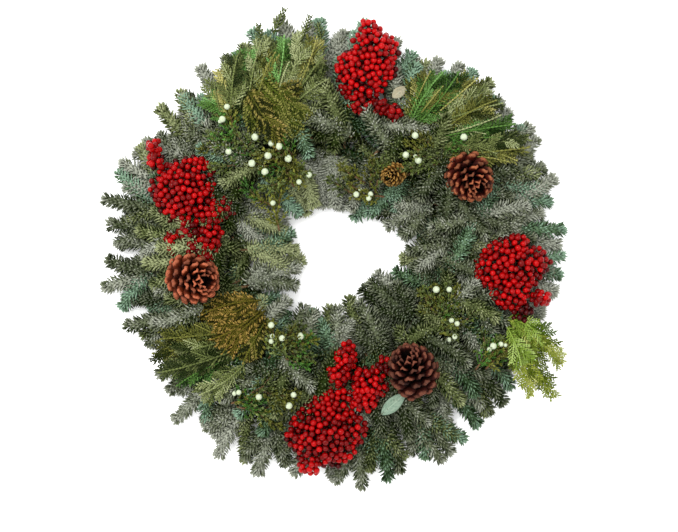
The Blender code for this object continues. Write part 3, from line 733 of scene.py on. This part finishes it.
def cedar_strand(seed, length, half_width, end_row):
    """A feather of cedar: branchlets swept forward left and right off one rib, shorter towards its tip."""
    draw = random.Random(seed)
    bm = new_pattern()
    scaly(bm, Vector((0, 0, 0.9 * MM)), 0.0, 0.96 * length, draw, 0.40, end_row)
    for station, side in stations(0.06 * length, 0.93 * length, 0.5 * BRANCHLET_PITCH, draw):
        part = station / length
        angle = radians(40 - 14 * part + draw.uniform(-6, 6))
        span = half_width * sin(pi * (0.34 + 0.62 * part)) * draw.uniform(0.75, 1.15)
        branch = min(span / sin(angle), (1.03 * length - station) / cos(angle))
        tone = 0.36 + draw.uniform(-0.10, 0.10)
        start = Vector((station, 0, draw.uniform(-1.2, 1.2) * MM))
        scaly(bm, start, side * angle, branch, draw, tone, end_row)
    return pattern_mesh("cedar strand", bm)


cedar_leaf = scale_leaf()
cedar_finishes = {  # material, slot, and the row of its golden ends
    "green": (leafy_material(
        "cedar green", 0.45, Shade=(0.006, 0.012, 0.001), Body=(0.080, 0.099, 0.028),
        Fresh=(0.268, 0.294, 0.150), Tip=(0.248, 0.266, 0.134), Under=(0.098, 0.127, 0.050),
        Warm=(1.12, 0.96, 0.64), Cool=(0.52, 0.94, 0.55), Bark=(0.07, 0.05, 0.015)), "cedar_foliage", None),
    "golden": (leafy_material(
        "golden cedar", 0.5, Shade=(0.006, 0.009, 0.001), Body=(0.058, 0.060, 0.007),
        Fresh=(0.165, 0.130, 0.036), Tip=(0.145, 0.125, 0.032), Under=(0.085, 0.085, 0.020),
        Warm=(1.12, 0.92, 0.8), Cool=(0.75, 0.95, 0.8), Bark=(0.07, 0.05, 0.02)),
        "golden_cedar_foliage", GOLD_ROW),
    "bright": (leafy_material(
        "bright cedar", 0.4, Shade=(0.030, 0.052, 0.001), Body=(0.130, 0.175, 0.024),
        Fresh=(0.270, 0.310, 0.110), Tip=(0.250, 0.270, 0.100), Under=(0.140, 0.180, 0.050),
        Warm=(1.08, 0.97, 0.85), Cool=(0.88, 1.0, 0.85), Bark=(0.12, 0.10, 0.02)), "cedar_foliage", None),
}
cedar_growths = {}
for finish, (_, _, end_row) in cedar_finishes.items():
    strands = [cedar_strand(seed, STRAND_LENGTH, STRAND_WIDTH, end_row) for seed in range(20, 24)]
    ribs = [cedar_strand(seed, RIB_LENGTH, RIB_WIDTH, end_row) for seed in range(30, 33)]
    cedar_growths[finish] = (strands, ribs)


def cedar_frond(bm, finish, base, tip, half_width, fresh, draw):
    """One flat frond from base to tip: a long rib, and strands that leave it left and right in turn."""
    run = tip - base
    bow = run.cross(UP) * draw.uniform(-0.07, 0.07)
    bow.z = draw.uniform(*FROND_BOW) * MM
    hue = draw.choices(range(HUES), CEDAR_HUES)[0]
    tone = fresh + draw.uniform(-0.18, 0.16)
    place = along_bow(base, tip, bow, RIB_LENGTH, draw.uniform(-0.2, 0.2))
    strands, ribs = cedar_growths[finish]
    set_down(bm, draw.choice(ribs), place, tone, hue)
    set_down(bm, bare_stem, along_bow(base, base.lerp(tip, 0.7), 0.7 * bow, SHOOT_LENGTH, 0.0, 0.4))
    for station, side in stations(0.06, 0.87, STRAND_PITCH / run.length, draw):
        angle = radians(36 - 12 * station + draw.uniform(-6, 6))
        span = half_width * MM * sin(pi * (0.36 + 0.59 * station)) * draw.uniform(0.75, 1.15)
        length = span / sin(angle)
        start = base + run * station + 4 * bow * station * (1 - station)
        end = start + Matrix.Rotation(side * angle, 3, "Z") @ run.normalized() * length
        end.z += draw.uniform(-7, 2) * MM
        place = along_bow(start, end, 2 * MM * UP, STRAND_LENGTH, draw.uniform(-0.4, 0.4),
                          min(1.05, 0.5 + 0.5 * length / STRAND_LENGTH))
        set_down(bm, draw.choice(strands), place, tone + draw.uniform(-0.34, 0.30), hue)


def beside(centre, x, y, height):
    """A point x and y mm beside a centre, at a height over the table."""
    return Vector((centre.x + x * MM, centre.y + y * MM, height))


def cedar_spray(name, half_width, finish, fresh, fronds):
    node = "cedar_spray_" + name
    draw = random.Random(node)
    low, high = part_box(node)
    centre = (low + high) / 2
    bm = new_pattern()
    for number, (cut_x, cut_y, tip_x, tip_y) in enumerate(fronds):
        level = low.z + FROND_LAYERS[number % 3] * MM
        base = beside(centre, cut_x, cut_y, level - draw.uniform(4, 8) * MM)
        tip = beside(centre, tip_x, tip_y, level - draw.uniform(0, 7) * MM)
        cedar_frond(bm, finish, base, tip, half_width, fresh, draw)
    for cut_x, cut_y, tip_x, tip_y in STRAY_STRANDS.get(name, ()):
        base = beside(centre, cut_x, cut_y, low.z)
        tip = beside(centre, tip_x, tip_y, low.z - 4 * MM)
        place = along_bow(base, tip, 3 * MM * UP, STRAND_LENGTH, 0.0, 0.8)
        set_down(bm, draw.choice(cedar_growths[finish][0]), place, STRAY_TONE, 0)
    material, slot, _ = cedar_finishes[finish]
    finish_piece("cedar_fronds_" + name, bm, material, slot, node)


for name, spray in CEDAR_SPRAYS.items():
    cedar_spray(name, *spray)

# ---- Juniper sprigs.
# Short bushy sprigs of berried juniper tucked in between the cedar and the fir: cord-like green branchlets
# all round a thin stem, with small pale waxy berries.
JUNIPER_TWIG = 36 * MM
JUNIPER_BRANCHLETS = 15
JUNIPER_PITCH = 0.7 * SCALE_PITCH
FORK_ANGLE = 34
WAXY_BERRY = 4.5 * MM  # radius
BERRY_OVER = (6, 9)  # mm over the sprig
BERRIES_TOGETHER = (1, 1, 2)  # how many hang in one place, drawn from these
JUNIPER_HUES = (0.4, 0.4, 0.2)
JUNIPER_SPRIGS = {  # heading, twigs without berries, where the berries hang beside the sprig's middle
    "upper_left_outer": (150, 6, ((-2, 50), (-8, 34), (34, 11), (0, -8))),
    "upper_left_inner": (150, 4, ((-11, 23), (-1, 19), (-15, 7), (11, 3), (-36, -3), (-19, -14),
                                  (25, -27), (38, -18))),
    "left_inner": (120, 4, ((7, -4),)),
    "upper_right": (172, 6, ((-15, 24), (48, 22), (-27, -1), (-11, -8))),
    "top_inner": (100, 5, ((-7, -19), (9, -24))),
    "right": (95, 8, ((-16, 28), (1, 28), (4, -12), (11, -16), (8, -33))),
    "right_outer": (60, 5, ((8, 9), (18, 11))),
    "lower_left_inner": (20, 7, ((-25, 22), (13, 7), (-25, 1), (-11, 5))),
    "bottom_left": (5, 8, ((-31, 8), (-5, 2), (40, 5), (34, -9))),
}


def juniper_twig(seed):
    draw = random.Random(seed)
    bm = new_pattern()
    stem(bm, JUNIPER_TWIG, 1.2 * MM, 0.6 * MM)
    for number in range(JUNIPER_BRANCHLETS):
        part = 0.12 + 0.88 * number / (JUNIPER_BRANCHLETS - 1)
        length = (17 - 7 * part) * MM * draw.uniform(0.8, 1.2)
        lean = radians(52 - 34 * part + draw.uniform(-8, 8))
        count = max(3, round(length / JUNIPER_PITCH))
        turn = spin(radians(GOLDEN_ANGLE * number), "X") @ spin(-lean, "Y")
        root = Matrix.Translation((JUNIPER_TWIG * part, 0, 0)) @ turn
        for step in range(count):
            roll = spin(radians(90 * step + draw.uniform(-20, 20)), "X")
            place = root @ Matrix.Translation((JUNIPER_PITCH * step, 0, 0)) @ roll
            fork = spin(radians(FORK_ANGLE) * (-1) ** step, "Y" if step % 4 < 2 else "Z")
            tone = 0.22 + 0.4 * step / count + draw.uniform(-0.08, 0.08) - LEAF_ROW
            set_down(bm, cedar_leaf, by_matrix(place @ Matrix.Scale(0.75, 4)), tone)
            set_down(bm, cedar_leaf, by_matrix(place @ fork @ Matrix.Scale(0.8, 4)), tone)
    return pattern_mesh("juniper twig", bm)


def lay_out(bm, where):
    """Puts all faces on the colour map: where gives a corner's spot from its point and its old spot."""
    layer = bm.loops.layers.uv.active
    for face in bm.faces:
        for loop in face.loops:
            loop[layer].uv = where(loop.vert.co, loop[layer].uv)


juniper_green = leafy_material(
    "juniper green", 0.55, Shade=(0.006, 0.011, 0.001), Body=(0.048, 0.067, 0.011),
    Fresh=(0.152, 0.192, 0.058), Tip=(0.142, 0.168, 0.052), Under=(0.090, 0.110, 0.045),
    Warm=(1.15, 0.95, 0.6), Cool=(0.52, 1.0, 0.60), Bark=(0.09, 0.05, 0.025), Fruit=(0.34, 0.38, 0.28))
juniper_twigs = [juniper_twig(seed) for seed in (40, 41, 42)]
bm = new_pattern()
ball(bm, 8, 6, WAXY_BERRY)
lay_out(bm, lambda point, spot: (spot.x, FRUIT_ROW + 0.022 * (spot.y * 2 - 1)))
waxy_berry = pattern_mesh("waxy berry", bm)


def juniper_sprig(name, heading, twigs, spots):
    node = "juniper_sprig_" + name
    draw = random.Random(node)
    low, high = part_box(node)
    centre = (low + high) / 2
    out = Vector(way(heading))
    side = Vector((-out.y, out.x, 0))
    half_length = (reach(node, heading) + reach(node, heading + 180)) / 2
    half_width = (reach(node, heading + 90) + reach(node, heading - 90)) / 2
    bm = new_pattern()

    def set_twig(start, tip):
        start.z = low.z + draw.uniform(4, 9) * MM
        tip.z = high.z + draw.uniform(-3, 3) * MM
        place = along_bow(start, tip, 4 * MM * UP, JUNIPER_TWIG, draw.uniform(0, tau), 1.2)
        hue = draw.choices(range(HUES), JUNIPER_HUES)[0]
        set_down(bm, draw.choice(juniper_twigs), place, draw.uniform(-0.22, 0.22), hue)

    for number in range(twigs):
        part = (number + 0.5) / twigs
        start = centre + out * half_length * (1.3 * part - 1.15) + side * half_width * draw.uniform(-1.1, 1.1)
        turn = (1 if number % 2 else -1) * draw.uniform(10, 50)
        towards = Matrix.Rotation(radians(turn), 3, "Z") @ out
        set_twig(start, start + towards * JUNIPER_TWIG * draw.uniform(0.8, 1.05))
    for x, y in spots:
        tip = beside(centre, x, y, 0)
        back = (Vector((x, y, 0)) + 20 * out).normalized() * JUNIPER_TWIG * draw.uniform(0.9, 1.1)
        set_twig(tip - back, tip)
    for x, y in spots:
        place = beside(centre, x, y, high.z + draw.uniform(*BERRY_OVER) * MM)
        sizes = draw.uniform(0.8, 1.1), draw.uniform(0.55, 0.8)
        for size in sizes[:draw.choice(BERRIES_TOGETHER)]:
            turn = spin(draw.uniform(0, 6.28), "X") @ spin(draw.uniform(0, 6.28), "Z")
            set_down(bm, waxy_berry, by_matrix(Matrix.Translation(place) @ turn @ Matrix.Scale(size, 4)))
            place += Vector((draw.uniform(-7, 7), draw.uniform(-7, 7), -3)) * MM
    finish_piece("juniper_twigs_" + name, bm, juniper_green, "juniper_foliage", node)


for name, sprig in JUNIPER_SPRIGS.items():
    juniper_sprig(name, *sprig)

# ---- Broad leaves.
# Two single leathery leaves tucked in beside the berries, pointed and a little cupped along a sunken midrib,
# with slanting side veins.
BROAD_LEAVES = {"lower": (42, "minty"), "top": (36, "dry")}  # heading, finish
BLADE_STEPS = (12, 6)  # along and across
BLADE_THICKNESS = 0.6 * MM
VEIN_PITCH = 9.0  # side veins along the blade


def leaf_material(name, blade, vein, edge):
    material, tree = new_finish(name)
    place = map_spot(tree)
    off = maths("ABSOLUTE", maths("SUBTRACT", maths("FRACT", place["Y"]), 0.5))
    slant = maths("SUBTRACT", place["X"], times(off, 0.35))
    wave = maths("PINGPONG", times(slant, VEIN_PITCH), 0.5)
    veins = maths("MAXIMUM", ramp(wave, 0.09, 0.0), ramp(off, 0.05, 0.02))
    cloud = mottle(place, 6.0, 7.0, 4.0)
    colour = blend(ramp(cloud, 0.3, 0.7), (*blade, 1), (*edge, 1))
    colour = blend(times(veins, 0.6), colour, (*vein, 1))
    colour = blend(ramp(off, 0.40, 0.49, 0.0, 0.5), colour, (*edge, 1))
    dress(tree, colour, ramp(cloud, 0.2, 0.8, 0.42, 0.6), veins, 0.3, 0.4 * MM, 0.2)
    return material


leaf_finishes = {
    "minty": leaf_material("minty leaf", (0.075, 0.125, 0.085), (0.20, 0.26, 0.19), (0.13, 0.18, 0.13)),
    "dry": leaf_material("dry leaf", (0.17, 0.165, 0.105), (0.26, 0.23, 0.16), (0.20, 0.17, 0.11)),
}


def broad_leaf(name, heading, finish):
    node = "broad_leaf_" + name
    low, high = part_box(node)
    near, far = -reach(node, heading + 180), reach(node, heading)
    left, right = reach(node, heading + 90), -reach(node, heading - 90)
    length, width = far - near, left - right
    bm = new_pattern()
    bmesh.ops.create_grid(bm, x_segments=BLADE_STEPS[0], y_segments=BLADE_STEPS[1], size=0.5)
    lay_out(bm, lambda point, spot: (point.x + 0.5, point.y + 0.5))
    for vert in bm.verts:
        along, across = vert.co.x + 0.5, 2 * vert.co.y
        wide = max(0.06, sin(pi * (0.04 + 0.93 * along ** 0.85)))
        lift = 0.10 * width * abs(across) * wide + 0.12 * length * along * (1 - along)
        vert.co = (near + along * length, (left + right) / 2 + 0.5 * width * wide * across, high.z + lift)
    bmesh.ops.solidify(bm, geom=bm.faces[:], thickness=BLADE_THICKNESS)
    bmesh.ops.rotate(bm, verts=bm.verts, matrix=Matrix.Rotation(radians(heading), 3, "Z"))
    bmesh.ops.recalc_face_normals(bm, faces=bm.faces)
    finish_piece("leaf_blade_" + name, bm, leaf_finishes[finish], "leaf_blade", node)


for name, leaf in BROAD_LEAVES.items():
    broad_leaf(name, *leaf)

# ---- Red berries.
# Picks of glossy red berries, each berry on its own short wired stem, gathered in close domed clusters. A
# berry is a little longer than it is wide, with a dark blossom end.
RED_BERRY = 4.3 * MM  # radius
BLOSSOM_DENT = 0.9 * MM
BERRY_ROWS = 8  # rows of the colour map: seven shades of berry, and the stems in the last
BERRY_PICKS = {  # bunches beside the cluster's middle as (x, y, radius, ripeness and shade): dull dried bunches are darker, and loose sprigs set deeper are painted darker as shade
    "top": ((-5, -10, 33, 1.15), (13, 20, 28, 1.25), (8, 30, 22, 1.25), (18, -4, 20, 1.2), (-8, -44, 16, 0.9),
            (5, 49, 12, 1.2)),
    "top_tail": ((-3, -4, 10, 0.7), (-21, 5, 9, 0.6)),
    "left": ((5, -8, 37, 0.9), (-2, 7, 31, 1), (15, 17, 24, 1), (-21, 0, 21, 0.8), (34, -28, 18, 0.7),
             (55, -22, 14, 0.45)),
    "left_outer": ((6, -14, 1, 0.8), (3, 2, 1, 1), (6, -15, 9, 0.9), (3, 3, 8, 1)),
    "left_lower": ((-6, -4, 17, 0.8), (-13, -32, 11, 0.6), (-32, 5, 14, 0.55), (-27, -17, 12, 0.4),
                   (-2, 14, 10, 0.9), (-54, -6, 8, 0.8), (-53, -19, 7, 0.7)),
    "right": ((17, -1, 28, 0.9), (-4, 8, 26, 1), (-17, -5, 24, 0.9), (6, -32, 24, 1), (39, 5, 17, 0.6),
              (14, 27, 14, 1), (20, -61, 13, 0.1)),
    "right_tip": ((1, 4, 9, 0.8), (-6, 2, 7, 0.8)),
    "bottom_inner": ((-3, -16, 15, 0.9), (6, 3, 14, 1), (10, 18, 7, 1)),
    "bottom_right": ((-2, 7, 22, 1), (-9, -13, 16, 0.9), (19, 32, 11, 0.6), (-13, 18, 10, 0.9)),
    "bottom_outer": ((3, 1, 42, 0.8), (6, 25, 26, 0.9), (38, 8, 20, 0.8), (19, 45, 19, 0.9), (20, 28, 16, 1),
                     (-15, -37, 15, 1), (-35, -2, 12, 0.7)),
}
BERRY_LAYERS = ((1.0, 6), (0.72, 3), (0.44, 1))  # height as a part of the dome's, and the lightest shade its berries take: lower layers painted darker, as shade under the top one
BERRY_SPACING = 1.66  # berries' radii between two middles
BERRY_TRIES = 16  # for each berry that there is room for
MOST_BERRIES = 1200
STEMS_SHOWN = 0.3  # part of the berries whose stem is built
STEM_RUN = (9, 14)  # mm


def red_berry(shade):
    """A berry with its blossom end up, in one of the rows of the colour map."""
    bm = new_pattern()
    for vert in ball(bm, 7, 5, RED_BERRY):
        vert.co.z *= 1.08
        if vert.co.z > RED_BERRY:
            vert.co.z -= BLOSSOM_DENT
    lay_out(bm, lambda point, spot: (spot.x, (shade + 0.03 + 0.94 * spot.y) / BERRY_ROWS))
    return pattern_mesh("red berry", bm)


def berry_stem():
    bm = new_pattern()
    bmesh.ops.create_cone(bm, segments=3, radius1=0.9 * MM, radius2=0.6 * MM, depth=1.0, calc_uvs=True)
    layer = bm.loops.layers.uv.active
    for face in bm.faces:
        for number, loop in enumerate(face.loops):
            row = BERRY_ROWS - 0.9 + 0.8 * (loop.vert.co.z + 0.5)
            loop[layer].uv = (0.1 + 0.2 * (number % 2), row / BERRY_ROWS)
    return pattern_mesh("berry stem", bm)


def berry_material():
    material, tree = new_finish("berry red")
    place = map_spot(tree)
    rows = times(place["Y"], float(BERRY_ROWS))
    row = maths("FLOOR", rows)
    height = maths("FRACT", rows)
    cloud = mottle(place, 5.0, 40.0)
    shade = maths("DIVIDE", row, float(BERRY_ROWS))
    colour = blend(ramp(shade, 0.0, 0.75), (0.018, 0.0003, 0.0004, 1), (0.26, 0.0005, 0.001, 1))
    colour = blend(ramp(cloud, 0.5, 0.8, 0.0, 0.3), colour, (0.32, 0.006, 0.004, 1))
    colour = blend(ramp(height, 0.92, 0.97), colour, (0.02, 0.008, 0.005, 1))
    colour = blend(ramp(height, 0.12, 0.0, 0.0, 0.6), colour, (0.12, 0.02, 0.005, 1))
    stalk = maths("GREATER_THAN", row, BERRY_ROWS - 1.5)
    colour = blend(stalk, colour, (0.07, 0.035, 0.02, 1))
    rough = plus(ramp(cloud, 0.3, 0.7, 0.16, 0.30), times(stalk, 0.4))
    surface = dress(tree, colour, rough, cloud, 0.12, 0.3 * MM, 0.05)
    surface["Coat Weight"].default_value = 0.07
    surface["Coat Roughness"].default_value = 0.12
    return material


berry_red = berry_material()
red_shades = [red_berry(shade) for shade in range(BERRY_ROWS - 1)]
stalk = berry_stem()


def facing(direction):
    """Turns +Z into a direction."""
    return direction.to_track_quat("Z", "Y").to_matrix().to_4x4()


def berry_pick(name, bunches):
    node = "red_berries_" + name
    draw = random.Random(node)
    low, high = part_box(node)
    foot = Vector(((low.x + high.x) / 2, (low.y + high.y) / 2, low.z))
    rise = high.z - low.z - RED_BERRY
    widest = max(bunch[2] for bunch in bunches)
    gap = BERRY_SPACING * RED_BERRY
    placed = np.empty((MOST_BERRIES, 3))
    count = 0
    bm = new_pattern()

    def dome(place):
        """How high the bunches stand over a place, at most the root of the widest one's radius."""
        heights = []
        for x, y, radius, _ in bunches:
            off = hypot(place.x - foot.x - x * MM, place.y - foot.y - y * MM) / (radius * MM)
            heights.append(radius ** 0.5 * (1 - 0.85 * min(1.0, off) ** 2))
        return max(heights)

    def hang(place, away, ripeness_and_shade, layer_lightest):
        """One berry that looks away from its bunch's middle, and now and then its stem."""
        size = Matrix.Scale(draw.uniform(0.84, 1.08), 4)
        # painted shade: berries in the lower layers take darker shades
        shade = round(ripeness_and_shade * draw.uniform(layer_lightest - 4, layer_lightest))
        berry = red_shades[min(max(0, shade), BERRY_ROWS - 2)]
        set_down(bm, berry, by_matrix(Matrix.Translation(place) @ facing(away) @ size))
        if draw.random() < STEMS_SHOWN:
            run = away * draw.uniform(*STEM_RUN) * MM
            long = Matrix.Diagonal((1, 1, run.length, 1))
            set_down(bm, stalk, by_matrix(Matrix.Translation(place - run / 2) @ facing(run) @ long))

    for layer, layer_lightest in BERRY_LAYERS:
        # ripeness, and painted shade: loose sprigs set deeper take darker shades
        for x, y, radius, ripeness_and_shade in bunches:
            phase = draw.uniform(0, tau)
            for attempt in range(round(BERRY_TRIES * (radius * MM / gap) ** 2 * 4)):
                angle = draw.uniform(0, tau)
                out = radius * sqrt(draw.random()) * (1 + 0.10 * sin(4 * angle + phase))
                place = foot + Vector((x + out * cos(angle), y + out * sin(angle), 0)) * MM
                place.z = low.z + layer * rise * dome(place) / widest ** 0.5 + draw.uniform(-2, 2) * MM
                if np.square(placed[:count] - place).sum(axis=1).min(initial=1.0) < gap * gap:
                    continue
                placed[count] = place
                count += 1
                away = Vector((place.x - foot.x - x * MM, place.y - foot.y - y * MM, radius * MM))
                away = (away.normalized() + Vector([draw.uniform(-0.4, 0.4) for _ in range(3)])).normalized()
                hang(place, away, ripeness_and_shade, layer_lightest)
    finish_piece("berry_picks_" + name, bm, berry_red, "red_berry_skin", node)


for name, bunches in BERRY_PICKS.items():
    berry_pick(name, bunches)

# ---- Pine cones.
# Ripe open cones, the large ones wired to the ring by their lowest scales. The woody scales stand out from
# the core in spirals, thick and paler at the blunt tip, thin and darker towards the core, where the dark
# is mostly painted shade between the scales.
CONE_LENGTH = 60 * MM
CONE_RADIUS = 31 * MM
CORE = (0.30 * CONE_RADIUS, 0.30 * CONE_RADIUS, 0.42 * CONE_LENGTH)  # half its size each way
CONE_SCALES = 78
CONE_SCALE = (25 * MM, 13.5 * MM, 2.2 * MM)  # length, width, thickness
SCALE_CURVE = 0.18  # how far a scale's tip curves up, part of its length
THICK_END = (0.72, 0.9 * MM)  # where the scale's thick end starts, and what it adds above and below
CONE_TONES = 4
CONES = {  # heading it leans to, rise of its axis, share of the full size, finish
    "left": (-10.6, 56.9, 1.08, "russet"),
    "upper_right": (-59.4, 52.9, 1.0, "maroon"),
    "lower": (114.1, 49.2, 1.08, "dark"),
    "small": (215, 56.3, 0.52, "golden"),
}


def cone_scale():
    """A woody scale along +X: narrow at the core, broad and thick towards its blunt tip, curved upwards."""
    length, width, thickness = CONE_SCALE
    bm = new_pattern()
    bmesh.ops.create_grid(bm, x_segments=5, y_segments=2, size=0.5)
    for vert in bm.verts:
        along, across = vert.co.x + 0.5, 2 * vert.co.y
        wide = 0.30 + 0.70 * sin(pi * min(1.0, 0.08 + 0.66 * along)) ** 1.2
        if along > 0.9:
            along += 0.05 * (1 - across * across)
            wide *= 0.62
        lift = SCALE_CURVE * length * along * along - 0.12 * width * across * across
        vert.co = (along * length, 0.5 * width * wide * across, lift)
    bmesh.ops.solidify(bm, geom=bm.faces[:], thickness=thickness)
    for vert in bm.verts:
        along = vert.co.x / length
        if along > THICK_END[0]:
            above = vert.co.z > SCALE_CURVE * length * along * along - 0.5 * MM
            vert.co.z += THICK_END[1] if above else -THICK_END[1]
    lay_out(bm, lambda point, spot: ((0.5 + 0.8 * (point.y + 0.35 * point.z) / width) / CONE_TONES,
                                     (point.x + 0.3 * point.z) / length * 0.8 + 0.06))
    return pattern_mesh("cone scale", bm)


def open_cone(seed):
    """A cone that stands on its foot: a core, and scales in spirals up along it."""
    draw = random.Random(seed)
    scale = cone_scale()
    bm = new_pattern()
    core = Matrix.Translation((0, 0, CORE[2])) @ Matrix.Diagonal((*CORE, 1))
    bmesh.ops.transform(bm, verts=ball(bm, 10, 7), matrix=core)
    lay_out(bm, lambda point, spot: (0.02 + 0.2 * spot.x, 0.02 + 0.05 * spot.y))
    for number in range(CONE_SCALES):
        part = (number + 0.5) / CONE_SCALES
        height = CONE_LENGTH * (0.04 + 0.80 * part)
        bulge = sin(pi * (0.20 + 0.78 * part ** 0.9))
        lean = radians(-14 + 88 * part ** 1.25 + draw.uniform(-4, 4))
        size = (0.48 + 0.56 * bulge) * draw.uniform(0.94, 1.05)
        turn = spin(radians(GOLDEN_ANGLE * number + draw.uniform(-4, 4)), "Z")
        tilt = spin(-lean, "Y")
        push = Matrix.Translation((0.16 * CONE_RADIUS, 0, height))
        roll = spin(draw.uniform(-0.12, 0.12), "X")
        place = by_matrix(turn @ push @ tilt @ roll @ Matrix.Scale(size, 4))
        set_down(bm, scale, place, shift=draw.randrange(CONE_TONES) / CONE_TONES)
    return pattern_mesh("open cone", bm)


def cone_material(name, core, wood, rim):
    material, tree = new_finish(name)
    place = map_spot(tree)
    grain = mottle(place, 90.0, 7.0)
    blotch = mottle(place, 12.0, 5.0)
    tone = maths("FLOOR", times(place["X"], float(CONE_TONES)))
    along = plus(place["Y"], ramp(blotch, 0.3, 0.7, -0.05, 0.05))
    # painted shade: towards the core, where the scales close together, the wood goes nearly black
    colour = blend(ramp(along, 0.42, 0.78), (*core, 1), (*wood, 1))
    colour = blend(ramp(along, 0.76, 0.88), colour, (*rim, 1))
    shade = times(ramp(grain, 0.3, 0.7, 0.7, 1.25), ramp(tone, 0.0, 3.0, 0.55, 1.3))
    rough = ramp(grain, 0.2, 0.8, 0.5, 0.75)
    dress(tree, scaled(colour, shade), rough, grain, 0.5, 0.4 * MM, 0.08)
    return material


CONE_COLOURS = {  # core, painted nearly black as the shade between the scales; wood; rim
    "russet": ((0.006, 0.001, 0.0005), (0.052, 0.007, 0.001), (0.20, 0.053, 0.024)),
    "maroon": ((0.005, 0.001, 0.0005), (0.033, 0.003, 0.001), (0.145, 0.044, 0.018)),
    "dark": ((0.003, 0.001, 0.0005), (0.018, 0.002, 0.001), (0.078, 0.024, 0.013)),
    "golden": ((0.010, 0.005, 0.001), (0.088, 0.039, 0.006), (0.16, 0.092, 0.022)),
}
cone_finishes = {name: cone_material(name + " cone", *colours) for name, colours in CONE_COLOURS.items()}
cone_pattern = open_cone(50)


def pine_cone(name, heading, rise, share, finish):
    node = "pine_cone_" + name
    low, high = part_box(node)
    x, y, _ = way(heading)
    level, upward, _ = way(rise)
    axis = Vector((level * x, level * y, upward))
    foot = (low + high) / 2 - axis * 0.5 * share * CONE_LENGTH
    bm = new_pattern()
    set_down(bm, cone_pattern, by_matrix(Matrix.Translation(foot) @ facing(axis) @ Matrix.Scale(share, 4)))
    finish_piece("open_cone_" + name, bm, cone_finishes[finish], "pine_cone_scales", node)


for name, cone in CONES.items():
    pine_cone(name, *cone)

# ---- Cone wires.
# A brown enamelled wire round the lowest scales of each large cone, taken down to the frame's outer ring.
dress_wires("cone_wire", "cone wire brown", (0.070, 0.045, 0.028), (0.36, 0.30, 0.24), 0.08)

[[list(corner) for corner in box] for box in (cad_box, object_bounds())]
